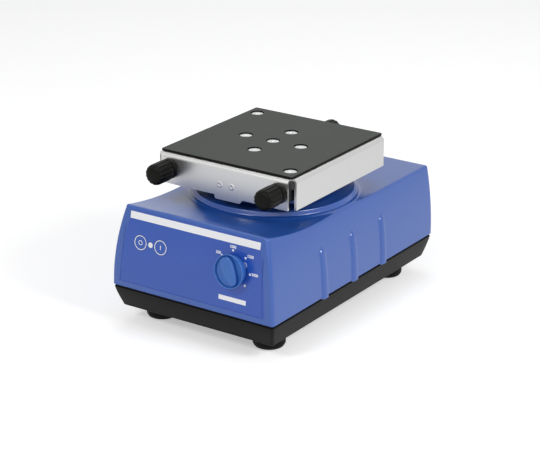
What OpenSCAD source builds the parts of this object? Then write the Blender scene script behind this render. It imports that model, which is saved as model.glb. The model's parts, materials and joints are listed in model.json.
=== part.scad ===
// Small orbital shaker: moulded housing on a dark tray, an eccentric drive under a round
// collar, and a sheet-metal platform with a rubber mat that circles without turning.
// Millimetres, +X right, -Y front, +Z up, standing on the table at z = 0.

/* [Housing] */
// Width of the housing at its parting line
housing_w = 157; // [154:1:176]
// Depth of the housing at its parting line
housing_d = 247; // [240:1:270]
// Height of the parting line above the table
seam_z = 33; // [31:0.5:36]
// Height of the flat top above the table
top_z = 94.5; // [92.5:0.5:97]
// How far the front brow stands above the flat top
brow_rise = 7.5; // [4:0.5:9]
// Length of the concave sweep from the brow back to the flat top
sweep_len = 66; // [50:1:80]
// Inward lean of each flank at the front, over its whole height
lean_front = 10.2; // [6:0.2:11]
// Inward lean of each flank at the back, over its whole height
lean_back = 7.8; // [5:0.2:9]
// Backward lean of the front face, over its whole height
lean_face = 7.4; // [5:0.2:9]
// Wall thickness of the housing
wall = 3; // [2:0.25:3.5]
// Radius of the upright outer edges
edge_r = 2.5; // [2:0.25:6]
// Radius of the ribs on the flanks
rib_r = 5.5; // [4:0.25:8]
// How far a rib stands out of the flank
rib_out = 2; // [1:0.1:2.5]
// Spacing of the ribs along the flank
rib_pitch = 45; // [30:1:55]
// Height above the table at which a rib runs out into the flank
rib_top_z = 75; // [62:1:82]
// Gap between housing and tray, filled by the seal
seam_gap = 1.5; // [1:0.1:2.5]

/* [Collar] */
// Outer radius of the collar at its foot
collar_r = 70.5; // [66:0.5:71]
// Radius of the collar's upper lip
collar_lip_r = 67; // [60:0.5:67]
// Height of the collar above the flat top
collar_h = 6; // [4:0.25:7]
// Radius of the opening inside the collar
collar_bore_r = 50; // [48.5:0.5:51.5]
// Distance of the drive axis in front of the housing's middle
drive_y = 5.5; // [0:0.5:8]

/* [Tray and feet] */
// Height of the tray's underside above the table
foot_h = 13.5; // [12:0.5:15]
// Wall thickness of the tray
tray_wall = 3; // [2:0.25:3.5]
// How much each side of the tray draws in at the bottom
tray_inset_x = 4.2; // [2:0.2:5]
// How much the tray's front and back draw in at the bottom
tray_inset_y = 6.3; // [3:0.2:8]
// Radius of a rubber foot
foot_r = 13.3; // [10:0.5:14]
// Distance of a foot's axis in from the flank's parting line
foot_side = 25.6; // [25:0.1:28.5]
// Distance of a foot's axis in from the front or back parting line
foot_end = 32.9; // [28.5:0.1:38.5]
// Thickness of the ballast plate on the tray's floor
ballast_t = 6; // [4:0.5:8]

/* [Platform] */
// Width of the rubber mat
mat_w = 126.5; // [122:0.5:135]
// Depth of the rubber mat
mat_d = 135.4; // [125:0.5:145]
// Thickness of the rubber mat
mat_t = 2; // [1.5:0.25:4]
// Radius of the round holes in the mat
mat_hole_r = 5.8; // [5:0.2:7]
// Pitch of the five middle screws
screw_pitch = 27; // [24:0.5:27.5]
// Thickness of the platform's sheet metal
sheet_t = 2; // [1.5:0.25:2.25]
// Outer radius of the folded edges
bend_r = 3.5; // [3:0.25:4.5]
// How far the folded flanges stand outside the mat
flange_out = 3.1; // [2.5:0.1:4]
// Height of the folded flanges
flange_h = 25.4; // [22:0.2:28]
// How far each flange is cut back at the corners
corner_cut = 5; // [4:0.25:7]
// Place of the tab under the front flange, to the right of the middle
tab_x = 5; // [-10:0.5:10]
// Height of the platform's top face above the table, without the mat
deck_z = 136.6; // [135:0.2:140]
// Radius of the circle in which the platform moves
throw = 2; // [1:0.25:2.5]

/* [Clamp knobs] */
// Radius of a clamp knob
clamp_r = 8.7; // [7:0.1:9]
// Length of a clamp knob
clamp_len = 23; // [18:0.5:28]
// Distance of a clamp screw in from the side of the platform
clamp_side = 13.85; // [12.35:0.05:20.35]
// Drop of the clamp screws below the platform's top face
clamp_drop = 12.2; // [11:0.2:13]
// Radius of a clamp screw
stud_r = 3; // [2:0.25:3.5]
// Number of flutes round a clamp knob
flute_count = 14; // [8:1:20]

/* [Control panel] */
// Height of the speed knob's axis on the front face
dial_z = 71.75; // [69:0.25:74]
// Place of the speed knob to the right of the middle
dial_x = 40.4; // [36:0.2:43]
// Radius of the speed knob
dial_r = 13; // [11:0.25:14]
// Height of the speed knob above the front face
dial_h = 8.6; // [7:0.2:12]
// Width of the bar grip across the speed knob
grip_w = 9.5; // [6:0.5:12]
// Angle of the bar grip from upright, at rest
grip_angle = 27.7; // [0:0.1:60]
// Radius of the round keys
key_r = 6.2; // [5:0.1:6.8]
// Height of the keys on the front face
key_z = 74; // [70:0.25:76]
// Place of the off key
off_x = -50.7; // [-54:0.1:-50]
// Place of the on key
on_x = -30.8; // [-31.5:0.1:-27]
// Travel of a key
key_travel = 0.5; // [0.3:0.1:1]
// Width of the bare margin at each side of the foil
foil_side = 8.2; // [6.5:0.1:12]
// Height of the bare margin under the foil
foil_low = 4.8; // [3:0.1:10]
// Height of the bare margin over the foil
foil_high = 3; // [1.5:0.1:8]
// Thickness of the foil
foil_t = 0.6; // [0.3:0.1:1]

/* [Drive] */
// Radius of the motor can
motor_r = 32; // [30:0.5:34]
// Thickness of the bridge that carries the drive
bridge_t = 9; // [8.5:0.25:11]
// Height of the bridge's top face
bridge_z = 66; // [64:0.5:67]
// Radius on which the three idler cranks stand
idler_r = 33; // [32.5:0.25:34]
// Radius of the round bearing carrier under the table
column_r = 44; // [43.5:0.25:45]
// Radius of the neck that joins carrier and table through the collar
neck_r = 31; // [24:0.5:33]
// Radius of the drive shaft and of the eccentric pin
shaft_r = 5; // [4.5:0.1:5.5]
// Radius of the counterweight
weight_r = 24; // [20:0.5:24]
// Radius of a support post
post_r = 6; // [4.5:0.5:7]

/* [Hidden] */
$fn = 64;

eps = 0.01;
run_fit = 0.03;          // radial clearance of a shaft that turns in its bearing
slip_fit = 0.05;         // radial clearance of a piece pushed onto another
key_fit = 0.2;           // clearance round a key
seat = 0.3;              // clearance between a moving piece and the face it lies over

// Housing: outline at each height
brow_z = top_z + brow_rise;
housing_h = brow_z - seam_z;
sweep_r = (sweep_len * sweep_len + brow_rise * brow_rise) / (2 * brow_rise);
sweep_y = -housing_d / 2 + lean_face + sweep_len;
collar_seat_r = collar_bore_r + 12;   // the housing's opening that the collar is set into
function rise(z) = max(0, (z - seam_z) / housing_h);
function half_front(z) = housing_w / 2 - lean_front * pow(rise(z), 2);
function half_back(z) = housing_w / 2 - lean_back * pow(rise(z), 2.2);
housing_levels = 8;
level_zs = [for (i = [0:housing_levels]) seam_z + housing_h * i / housing_levels];
face_table = [for (z = level_zs) [z, -housing_d / 2 + lean_face * pow(rise(z), 2)]];
function face_y(z) = lookup(z, face_table);

// Control panel: one tilt for everything that stands square to the front face
panel_tilt = atan((face_y(dial_z + 5) - face_y(dial_z - 5)) / 10);
board_w = 2 * 56;
board_h = 42;
board_z = dial_z + 0.5;
board_t = 1.6;
pot_depth = 7;           // thickness of the potentiometer's body
bush_len = 7;            // length of its bushing, from the wall's inner face
board_back = wall + bush_len + pot_depth;
led_x = (off_x + on_x) / 2;
led_r = 2.2;
pot_w = 17;
knob_gap = 0.7;
key_flange_t = 1.5;
key_lug_r = key_r + 1.6;

// Tray
tray_top = seam_z - seam_gap;
tray_h = tray_top - foot_h;
foot_span_x = housing_w - 2 * foot_side;
foot_span_y = housing_d - 2 * foot_end;
tray_edge = 0.5;         // the tray's rim lies this far inside the housing's
floor_z = foot_h + tray_wall;
case_x = housing_w / 2 - 12.5;
case_y = foot_span_y / 2 - 22.6;
case_boss_r = 6;
boss_h = 24;             // height of the screw bosses in the housing
case_web = 2.5;          // thickness of the web that joins a boss to the flank
case_screw_r = 2;
ballast_w = 2 * (case_x - case_boss_r - 2.5);
ballast_d = foot_span_y + 4;
ballast_top = floor_z + ballast_t;
vent_y = ballast_d / 2 - 31.1;
vent_pitch = 6;

// Power supply on the ballast plate, behind the bridge
power_w = 100;
power_d = 44;
power_y = ballast_d / 2 - 1.6 - power_d;
power_rise = 6;          // height of its stand-offs
power_top = ballast_top + power_rise + board_t;
power_hole = 5;          // distance of its screw holes in from the edges
core_w = 48;
core_d = 38;
core_h = 34;
core_limb = 8;
core_x = 8 - power_w / 2;
core_y = power_y + 3;
can_r = 8;
can_h = 25;
can_x = core_x + core_w + can_r + 4;
can_step = 18;

// Drive stack, from the bridge up
drive_pos = [0, -drive_y];
pin_pos = [0, -drive_y - throw];
bridge_w = ballast_w;
bridge_d = 100;
post_x = bridge_w / 2 - post_r - 1.5;
post_y = bridge_d / 2 - post_r - 1.5;
bridge_under = bridge_z - bridge_t;
main_or = 13;            // bearing of the drive shaft and of the eccentric pin
main_w = 8;
idler_or = 9.5;          // bearing of an idler crank
idler_w = 6;
idler_pin_r = 3;
low_or = 11;             // lower motor bearing
low_r = 4;
low_w = 7;
hub_r = 14;
hub_z0 = bridge_z + seat;
hub_z1 = hub_z0 + 11.7;
crank_z0 = bridge_z + 1;
crank_z1 = crank_z0 + 4.5;
crank_r = idler_pin_r + throw + 3;
column_z0 = hub_z1 + 3;
table_bearing_z = column_z0 + 1;
bearing_gap = 2;
pin_z1 = table_bearing_z + 2 * main_w + bearing_gap;
guard_z0 = top_z + collar_h + 2;
guard_t = 2.5;
guard_r = collar_bore_r + throw + 2;
flange_z0 = guard_z0 + guard_t;
flange_z1 = flange_z0 + 6.5;
carrier_z1 = table_bearing_z + idler_w + 1.5;
plate_t = 6;
plate_top = deck_z - sheet_t;
plate_z0 = plate_top - plate_t;
can_z0 = ballast_top + 2;
can_wall = 3;
can_flange_r = motor_r + 8;
stator_r = motor_r - can_wall - slip_fit;
rotor_r = 17.5;
air_gap = 0.7;
stack_z0 = can_z0 + 9.5;
stack_z1 = bridge_under - 6;
low_bearing_z = can_z0 + 1.2;
motor_screw_r = 2;
shaft_z1 = hub_z0 + 9.5;

// Platform
pan_w = mat_w + 2 * flange_out;
pan_d = mat_d + 2 * flange_out;
flange_z = deck_z - flange_h;
pan_fit = 0.4;
plate_w = pan_w - 2 * sheet_t - 2 * pan_fit;
plate_d = pan_d - 2 * sheet_t - 2 * pan_fit;
corner_x = mat_w / 2 - 9.75;
corner_y = mat_d / 2 - 12.7;
screw_spots = [[0, 0], [screw_pitch, 0], [-screw_pitch, 0], [0, screw_pitch], [0, -screw_pitch],
    [corner_x, -corner_y], [-corner_x, corner_y]];
deck_screw_r = 2;
deck_head_r = 4;
clamp_span = pan_w - 2 * clamp_side;
clamp_z = deck_z - clamp_drop;
clamp_spots = [[-1, -1], [1, -1], [0, 1]];   // two in front, one at the back
stud_depth = 16;
block_w = 18;
block_d = 19;
tab_w = 27;
tab_h = 3.4;

// Inlet on the back wall
inlet_x = 36;
inlet_z = 62;
inlet_w = 30;
inlet_h = 43;
inlet_flange_t = 1.5;
socket_w = 24.5;
socket_h = 17;
socket_depth = 16;
socket_z = 8;            // height of the socket's middle above the inlet's middle
drawer_h = 10;
drawer_w = 24;

// The part stands with the middle of its outer box on the origin
knob_front = -face_y(dial_z) + dial_h * cos(panel_tilt) + dial_r * sin(panel_tilt);
back_reach = housing_d / 2 + inlet_flange_t;
middle_y = (knob_front - back_reach) / 2;

module placed() { translate([0, middle_y, 0]) children(); }
module at_drive(z = 0) { translate([drive_pos[0], drive_pos[1], z]) children(); }
module at_table(z = 0) { translate([pin_pos[0], pin_pos[1], z]) children(); }
module on_panel(x, z) { translate([x, face_y(z), z]) rotate([90 - panel_tilt, 0, 0]) children(); }
module mirrored_xy(x, y) { for (sx = [-1, 1], sy = [-1, 1]) translate([sx * x, sy * y, 0]) children(); }
module idler_spots() { for (a = [30, 150, 270]) rotate(a) translate([idler_r, 0, 0]) rotate(-a) children(); }

// A ring of points: a rectangle with round corners, narrower at the front than at the back
function corner_points(cx, cy, r, start, n, z) =
    [for (i = [0:n]) let (a = start + 90 * i / n) [cx + r * cos(a), cy + r * sin(a), z]];
function outline_ring(front_half, back_half, y0, y1, r, n, z) = concat(
    corner_points(back_half - r, y1 - r, r, 0, n, z),
    corner_points(r - back_half, y1 - r, r, 90, n, z),
    corner_points(r - front_half, y0 + r, r, 180, n, z),
    corner_points(front_half - r, y0 + r, r, 270, n, z));

// A closed skin over a stack of such rings
module loft(rings) {
    n = len(rings[0]);
    top = len(rings) - 1;
    points = [for (ring = rings) for (p = ring) p];
    sides = [for (k = [0:top - 1]) for (i = [0:n - 1]) let (j = (i + 1) % n)
        each [[k * n + i, (k + 1) * n + i, (k + 1) * n + j], [k * n + i, (k + 1) * n + j, k * n + j]]];
    bottom_face = [[for (i = [0:n - 1]) i]];
    top_face = [[for (i = [n - 1:-1:0]) top * n + i]];
    polyhedron(points, concat(bottom_face, sides, top_face), convexity = 4);
}

module housing_form(inset, zs, n, r) {
    loft([for (z = zs) outline_ring(half_front(z) - inset, half_back(z) - inset,
        face_y(z) + inset, housing_d / 2 - inset, r, n, z)]);
}

module above_top(drop) {
    translate([0, sweep_y, top_z + sweep_r]) rotate([0, 90, 0])
        cylinder(r = sweep_r + drop, h = 2 * housing_w, center = true, $fn = 360);
    translate([-housing_w, sweep_y, top_z - drop]) cube([2 * housing_w, housing_d, 60]);
}

module rounded_bar(w, h, r) {
    square([w - 2 * r, h], center = true);
    square([w, h - 2 * r], center = true);
    for (sx = [-1, 1], sy = [-1, 1]) translate([sx * (w / 2 - r), sy * (h / 2 - r)]) circle(r);
}

module bearing(bore, outer, width) {
    race = (outer - bore) * 0.27;
    dish = 0.5;
    rotate_extrude() polygon([[bore, 0], [bore + race, 0], [bore + race, dish], [outer - race, dish],
        [outer - race, 0], [outer, 0], [outer, width], [outer - race, width],
        [outer - race, width - dish], [bore + race, width - dish], [bore + race, width],
        [bore, width]]);
}

module pan_screw(r, head_r, head_h, length) {
    cylinder(r = head_r, h = head_h);
    translate([0, 0, head_h - eps]) cylinder(r = r, h = length + eps);
}

// ---- Housing ----
rib_half = sqrt(rib_r * rib_r - pow(rib_r - rib_out, 2));
rib_bend_z = rib_top_z - rib_half;      // where the bead starts to round off
rib_drop = 2;            // the ribs reach this far down over the seal
function rib_size(z) = z <= rib_bend_z ? rib_r : sqrt(rib_r * rib_r - pow(z - rib_bend_z, 2));
module flank_rib() {
    zs = concat([for (i = [0:4]) seam_z + (rib_bend_z - seam_z) * i / 4],
        [for (a = [25, 45, 62, 76]) rib_bend_z + rib_r * sin(a)]);
    loft([for (z = zs) let (r = rib_size(z),
        x = (half_front(z) + half_back(z)) / 2 + rib_out - rib_r)
        [for (a = [-88:16:88]) [x + r * cos(a), r * sin(a), z]]]);
    translate([0, 0, seam_z - rib_drop]) linear_extrude(rib_drop + 0.1) intersection() {
        translate([housing_w / 2 + rib_out - rib_r, 0]) circle(rib_r, $fn = 48);
        translate([housing_w / 2 - 0.2, -rib_r]) square([rib_r, 2 * rib_r]);
    }
}
module flank_ribs() {
    for (s = [0, 1], k = [-1:1]) mirror([s, 0, 0]) translate([0, -4.6 + k * rib_pitch, 0]) flank_rib();
}

module housing_shell() {
    difference() {
        union() {
            difference() {
                housing_form(0, level_zs, 6, edge_r);
                above_top(0);
            }
            flank_ribs();
        }
        difference() {
            housing_form(wall, [for (i = [0:2:housing_levels]) level_zs[i] - (i == 0 ? 3 : 0)], 3,
                max(edge_r - wall / 2, 1));
            above_top(wall);
        }
    }
}

// The collar stands in the housing's round opening and lies on its top face
module collar_ring() {
    lip = 0.8;
    lip_z = top_z + collar_h;
    color([0.27, 0.36, 0.66]) difference() {
        union() {
            intersection() {
                housing_form(0.02, level_zs, 6, edge_r);
                above_top(0);
                at_drive() rotate_extrude($fn = 180) polygon([[collar_bore_r, top_z - 1],
                    [collar_r + 5, top_z - 1], [collar_r + 5, top_z + 0.2], [collar_r + 2.6, top_z + 0.5],
                    [collar_r + 0.8, top_z + 1], [collar_r, top_z + 1.5], [collar_r - 0.7, top_z + 1.7],
                    [collar_lip_r + 1.1, top_z + 1.8], [collar_lip_r + 0.6, top_z + 2.2],
                    [collar_lip_r, lip_z - lip], [collar_lip_r - lip / 2, lip_z - lip / 4],
                    [collar_lip_r - lip, lip_z], [collar_bore_r, lip_z]]);
            }
            at_drive(top_z - wall) cylinder(r = collar_seat_r - slip_fit, h = wall + 2, $fn = 180);
        }
        at_drive(top_z - 20) cylinder(r = collar_bore_r, h = 40, $fn = 128);
    }
}

module housing_bosses() {
    intersection() {
        union() {
            mirrored_xy(case_x, case_y) translate([0, 0, seam_z]) cylinder(r = case_boss_r, h = boss_h);
            for (sx = [-1, 1], sy = [-1, 1])
                translate([sx * (housing_w / 2 + case_x) / 2, sy * case_y, seam_z + boss_h / 2])
                    cube([housing_w / 2 - case_x, case_web, boss_h], center = true);
            on_panel(0, board_z) for (sx = [-1, 1], sy = [-1, 1])
                translate([sx * (board_w / 2 - 5), sy * (board_h / 2 - 5), -board_back])
                    cylinder(r = 3.5, h = board_back - wall / 2);
        }
        difference() {
            translate([0, 0, seam_z + housing_h / 2])
                cube([housing_w - wall, housing_d - wall, housing_h], center = true);
            above_top(wall / 2);
        }
    }
}

foil_z0 = seam_z + foil_low;
foil_z1 = brow_z - foil_high;
foil_zs = concat([foil_z0], [for (z = level_zs) if (z > foil_z0 + 1 && z < foil_z1 - 1) z], [foil_z1]);
module foil_outline() {
    translate([0, -housing_d / 2 + 30, 0]) rotate([90, 0, 0]) linear_extrude(60)
        polygon(concat([for (z = foil_zs) [half_front(z) - foil_side, z]],
            [for (i = [len(foil_zs) - 1:-1:0]) [foil_side - half_front(foil_zs[i]), foil_zs[i]]]));
}

module foil_body(out) {
    intersection() {
        translate([-housing_w / 2, 0, 0]) rotate([90, 0, 90]) linear_extrude(housing_w)
            polygon(concat([for (z = foil_zs) [face_y(z) - out, z]],
                [for (i = [len(foil_zs) - 1:-1:0]) [face_y(foil_zs[i]) + foil_t, foil_zs[i]]]));
        foil_outline();
    }
}

module panel_holes() {
    for (x = [off_x, on_x]) on_panel(x, key_z)
        translate([0, 0, -wall - 1.5]) cylinder(r = key_r + key_fit, h = wall + 4);
    on_panel(led_x, key_z) translate([0, 0, -wall - 1.5]) cylinder(r = led_r + slip_fit, h = wall + 4);
    on_panel(dial_x, dial_z) translate([0, 0, -wall - 1.5]) cylinder(r = 3.6, h = wall + 4);
}

module upper_housing() {
    color([0.27, 0.36, 0.66]) difference() {
        union() {
            housing_shell();
            housing_bosses();
        }
        at_drive(top_z - 20) cylinder(r = collar_seat_r, h = 40, $fn = 180);
        foil_body(3);
        panel_holes();
        mirrored_xy(case_x, case_y) translate([0, 0, seam_z - 1]) cylinder(r = case_screw_r, h = 18);
        on_panel(0, board_z) for (sx = [-1, 1], sy = [-1, 1])
            translate([sx * (board_w / 2 - 5), sy * (board_h / 2 - 5), -board_back - 1])
                cylinder(r = 1.2, h = 9);
        translate([inlet_x, housing_d / 2, inlet_z])
            cube([inlet_w - 3 + 0.4, 20, inlet_h - 3 + 0.4], center = true);
    }
}

module front_foil() {
    color([0.24, 0.33, 0.62]) difference() {
        foil_body(0);
        panel_holes();
    }
}

// ---- Tray, seal and feet ----
module tray_form(inset, z0, n) {
    zs = [z0, foot_h + tray_h * 0.12, foot_h + tray_h * 0.45, foot_h + tray_h * 0.8, tray_top];
    draw = [1, 0.86, 0.42, 0.1, 0];
    loft([for (i = [0:4]) let (
        hx = housing_w / 2 - tray_edge - tray_inset_x * draw[i] - inset,
        hy = housing_d / 2 - tray_edge - tray_inset_y * draw[i] - inset,
        z = zs[i] + (inset > 0 && i == 4 ? 1 : 0))
        outline_ring(hx, hx, -hy, hy, edge_r - (inset > 0 ? 1.5 : 0), n, z)]);
}

module base_tray() {
    color([0.1, 0.1, 0.1]) difference() {
        union() {
            difference() {
                tray_form(0, foot_h, 6);
                tray_form(tray_wall, floor_z, 3);
            }
            mirrored_xy(case_x, case_y) translate([0, 0, floor_z - 1])
                cylinder(r = case_boss_r, h = seam_z - floor_z + 1);
        }
        mirrored_xy(case_x, case_y) {
            translate([0, 0, foot_h - 1]) cylinder(r = case_screw_r + slip_fit, h = seam_z);
            translate([0, 0, foot_h - 1]) cylinder(r = 4.2, h = 6);
        }
        mirrored_xy(foot_span_x / 2, foot_span_y / 2)
            translate([0, 0, foot_h - 1]) cylinder(r = case_screw_r + slip_fit, h = 8);
        for (k = [-3:3]) translate([0, vent_y + k * vent_pitch, foot_h])
            cube([50, 2.4, 3 * tray_wall], center = true);
    }
}

module housing_seal() {
    inset = 1.3;
    band = wall - inset - 0.2;
    color([0.05, 0.05, 0.05]) translate([0, 0, tray_top]) linear_extrude(seam_gap) difference() {
        rounded_bar(housing_w - 2 * inset, housing_d - 2 * inset, max(edge_r - inset, 0.8));
        rounded_bar(housing_w - 2 * (inset + band), housing_d - 2 * (inset + band),
            max(edge_r - inset - band, 0.4));
    }
}

module foot() {
    rotate_extrude() difference() {
        union() {
            polygon([[2.1, 4], [2.1, foot_h], [foot_r - 0.6, foot_h], [foot_r, foot_h - 0.6],
                [foot_r, 3], [foot_r - 0.9, 0.9], [foot_r - 3, 0], [4.6, 0], [4.6, 4]]);
        }
        translate([foot_r + 0.9, foot_h - 4.5]) circle(1.6);
    }
}
module foot_at(sx, sy) {
    color([0.06, 0.06, 0.06]) translate([sx * foot_span_x / 2, sy * foot_span_y / 2, 0]) foot();
}
module foot_fl() { foot_at(-1, -1); }
module foot_fr() { foot_at(1, -1); }
module foot_rl() { foot_at(-1, 1); }
module foot_rr() { foot_at(1, 1); }

module foot_screws() {
    color([0.75, 0.75, 0.76]) mirrored_xy(foot_span_x / 2, foot_span_y / 2)
        translate([0, 0, 1.6]) pan_screw(case_screw_r, 4, 2.4, ballast_top - 4.5);
}

module case_screws() {
    color([0.75, 0.75, 0.76]) mirrored_xy(case_x, case_y)
        translate([0, 0, foot_h + 2.6]) pan_screw(case_screw_r - 0.02, 3.6, 2.4, seam_z + 8 - foot_h);
}

module ballast_plate() {
    color([0.35, 0.35, 0.36]) difference() {
        translate([0, 0, floor_z]) linear_extrude(ballast_t) rounded_bar(ballast_w, ballast_d, 6);
        mirrored_xy(foot_span_x / 2, foot_span_y / 2)
            translate([0, 0, floor_z - 1]) cylinder(r = case_screw_r + 0.02, h = ballast_t + 2);
        translate([0, vent_y, floor_z]) cube([54, 44, 4 * ballast_t], center = true);
    }
}

// ---- Control electronics ----
module control_board() {
    color([0.1, 0.4, 0.2]) on_panel(0, board_z) difference() {
        translate([-board_w / 2, -board_h / 2, -board_back - board_t]) cube([board_w, board_h, board_t]);
        for (sx = [-1, 1], sy = [-1, 1])
            translate([sx * (board_w / 2 - 5), sy * (board_h / 2 - 5), -board_back - 2 * board_t])
                cylinder(r = 1.4, h = 3 * board_t);
    }
}

module board_screws() {
    color([0.75, 0.75, 0.76]) on_panel(0, board_z) for (sx = [-1, 1], sy = [-1, 1])
        translate([sx * (board_w / 2 - 5), sy * (board_h / 2 - 5), -board_back - board_t - 1.8])
            pan_screw(1.18, 2.6, 1.8, 8);
}

module potentiometer() {
    color([0.2, 0.45, 0.5]) on_panel(dial_x, dial_z) difference() {
        union() {
            translate([-pot_w / 2, -pot_w / 2, -board_back]) cube([pot_w, pot_w, pot_depth]);
            translate([0, 0, -wall - bush_len - 1]) cylinder(r = 4.7, h = bush_len + 0.9);
        }
        translate([0, 0, -board_back + 1]) cylinder(r = 3 + run_fit, h = board_back);
    }
}

module key_switches() {
    color([0.15, 0.15, 0.15]) for (x = [off_x, on_x]) on_panel(x, key_z) {
        translate([-3, -3, -board_back]) cube([6, 6, 5]);
        translate([0, 0, -board_back + 4]) cylinder(r = 1.7, h = board_back - wall - key_flange_t - 7);
    }
}

module power_led() {
    color([0.95, 0.95, 0.95]) on_panel(led_x, key_z) {
        translate([0, 0, -board_back]) cylinder(r = 2.9, h = 1.2);
        translate([0, 0, -board_back + 1]) cylinder(r = 2.5, h = 5);
    }
}

module led_lens() {
    color([0.9, 0.95, 0.9]) on_panel(led_x, key_z) {
        translate([0, 0, -board_back + 6]) cylinder(r = led_r, h = board_back - 6 + 0.2);
    }
}

module power_board() {
    color([0.1, 0.4, 0.2]) translate([0, power_y, power_top - board_t]) difference() {
        translate([-power_w / 2, 0, 0]) cube([power_w, power_d, board_t]);
        power_spots() translate([0, 0, -1]) cylinder(r = 1.6, h = board_t + 2);
    }
    color([0.7, 0.7, 0.7]) translate([0, power_y, ballast_top]) power_spots()
        cylinder(r = 2.8, h = power_rise);
}
module power_spots() {
    for (s = [-1, 1], y = [power_hole, power_d - power_hole])
        translate([s * (power_w / 2 - power_hole), y, 0]) children();
}

module transformer() {
    window = [core_limb, core_d + 2, core_h - 2 * core_limb];
    color([0.3, 0.3, 0.32]) translate([core_x, core_y, power_top]) difference() {
        cube([core_w, core_d, core_h]);
        for (x = [core_limb, core_w - 2 * core_limb]) translate([x, -1, core_limb]) cube(window);
    }
    color([0.75, 0.5, 0.2]) translate([core_x + core_limb + 0.2, core_y - 3.5, power_top + core_limb + 0.2])
        difference() {
            cube([core_w - 2 * core_limb - 0.4, core_d + 7, window[2] - 0.4]);
            translate([core_limb - 0.4, 3.3, -1]) cube([core_w - 4 * core_limb + 0.4, core_d + 0.4, core_h]);
        }
}

module capacitors() {
    color([0.1, 0.1, 0.3]) for (p = [[0, 11], [0, 31], [can_step, 11]])
        translate([can_x + p[0], power_y + p[1], power_top]) cylinder(r = can_r, h = can_h);
}

module mains_inlet() {
    color([0.08, 0.08, 0.08]) translate([inlet_x, housing_d / 2, inlet_z]) difference() {
        union() {
            translate([-inlet_w / 2, 0, -inlet_h / 2]) cube([inlet_w, inlet_flange_t, inlet_h]);
            translate([-inlet_w / 2 + 1.5, -22, -inlet_h / 2 + 1.5])
                cube([inlet_w - 3, 22 + eps, inlet_h - 3]);
        }
        translate([-socket_w / 2, inlet_flange_t - socket_depth, socket_z - socket_h / 2])
            cube([socket_w, socket_depth + 1, socket_h]);
        translate([-drawer_w / 2 - 0.1, inlet_flange_t - 18, -13 - drawer_h / 2 - 0.1])
            cube([drawer_w + 0.2, 19, drawer_h + 0.2]);
        for (p = [[-7, 2], [7, 2], [0, -3]]) translate([p[0] - 1, -20, socket_z + p[1] - 2])
            cube([2, 8, 4]);
    }
}

module inlet_pins() {
    color([0.8, 0.7, 0.4]) translate([inlet_x, housing_d / 2, inlet_z])
        for (p = [[-7, 2], [7, 2], [0, -3]]) translate([p[0] - 1, -20, socket_z + p[1] - 2])
            cube([2, 20 + inlet_flange_t - 6, 4]);
}

module fuse_drawer() {
    color([0.12, 0.12, 0.12]) translate([inlet_x, housing_d / 2, inlet_z]) difference() {
        translate([-drawer_w / 2, inlet_flange_t - 17.9, -13 - drawer_h / 2])
            cube([drawer_w, 17.9, drawer_h]);
        translate([-3, inlet_flange_t - 1, -13 - drawer_h / 2 + 1]) cube([6, 2, 1.6]);
    }
}

// ---- Drive, fixed side ----
module bridge_plate() {
    color([0.7, 0.71, 0.73]) at_drive(bridge_under) difference() {
        linear_extrude(bridge_t) rounded_bar(bridge_w, bridge_d, 8);
        translate([0, 0, bridge_t - main_w]) cylinder(r = main_or + 0.02, h = main_w + 1);
        translate([0, 0, -1]) cylinder(r = main_or - 3, h = bridge_t);
        idler_spots() {
            translate([0, 0, bridge_t - idler_w]) cylinder(r = idler_or + 0.02, h = idler_w + 1);
            translate([0, 0, -1]) cylinder(r = 6, h = bridge_t);
        }
        mirrored_xy(post_x, post_y) translate([0, 0, -1]) cylinder(r = 2.55, h = bridge_t + 2);
        for (a = [90, 210, 330]) rotate(a) translate([motor_r + 4, 0, -1])
            cylinder(r = motor_screw_r + 0.02, h = bridge_t - 1);
    }
}

module bridge_posts() {
    color([0.75, 0.75, 0.76]) at_drive(ballast_top) mirrored_xy(post_x, post_y) difference() {
        cylinder(r = post_r, h = bridge_under - ballast_top);
        translate([0, 0, bridge_under - ballast_top - 15]) cylinder(r = 2.52, h = 16);
    }
}

module bridge_screws() {
    color([0.6, 0.6, 0.62]) at_drive(bridge_z + 3) mirrored_xy(post_x, post_y)
        mirror([0, 0, 1]) pan_screw(2.5, 4.2, 3, bridge_t + 12);
}

module motor_can() {
    color([0.5, 0.51, 0.53]) at_drive() difference() {
        union() {
            translate([0, 0, can_z0]) cylinder(r = motor_r, h = bridge_under - can_z0);
            translate([0, 0, bridge_under - 3]) cylinder(r = can_flange_r, h = 3);
        }
        difference() {
            translate([0, 0, can_z0 + can_wall]) cylinder(r = motor_r - can_wall, h = bridge_under);
            translate([0, 0, can_z0]) cylinder(r = low_or + 3, h = low_w + 1.2);
        }
        translate([0, 0, low_bearing_z]) cylinder(r = low_or + 0.02, h = 20);
        for (a = [90, 210, 330]) rotate(a) translate([motor_r + 4, 0, bridge_under - 5])
            cylinder(r = motor_screw_r + 0.1, h = 8);
    }
}

module motor_stator() {
    turn_r = (rotor_r + air_gap + stator_r) / 2;
    color([0.7, 0.4, 0.2]) at_drive() difference() {
        union() {
            translate([0, 0, stack_z0]) cylinder(r = stator_r, h = stack_z1 - stack_z0);
            for (z = [stack_z0, stack_z1]) translate([0, 0, z]) rotate_extrude()
                translate([turn_r, 0]) circle(4);
        }
        translate([0, 0, stack_z0 - 10]) cylinder(r = rotor_r + air_gap, h = 60);
    }
}

module motor_screws() {
    color([0.6, 0.6, 0.62]) at_drive(bridge_under - 3 - 2.4)
        for (a = [90, 210, 330]) rotate(a) translate([motor_r + 4, 0, 0])
            pan_screw(motor_screw_r, 3.6, 2.4, 3 + bridge_t - 3);
}

module motor_bearings() {
    color([0.8, 0.8, 0.82]) at_drive() {
        translate([0, 0, low_bearing_z]) bearing(low_r + run_fit, low_or, low_w);
        translate([0, 0, bridge_z - main_w]) bearing(shaft_r + run_fit, main_or, main_w);
    }
}

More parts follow.
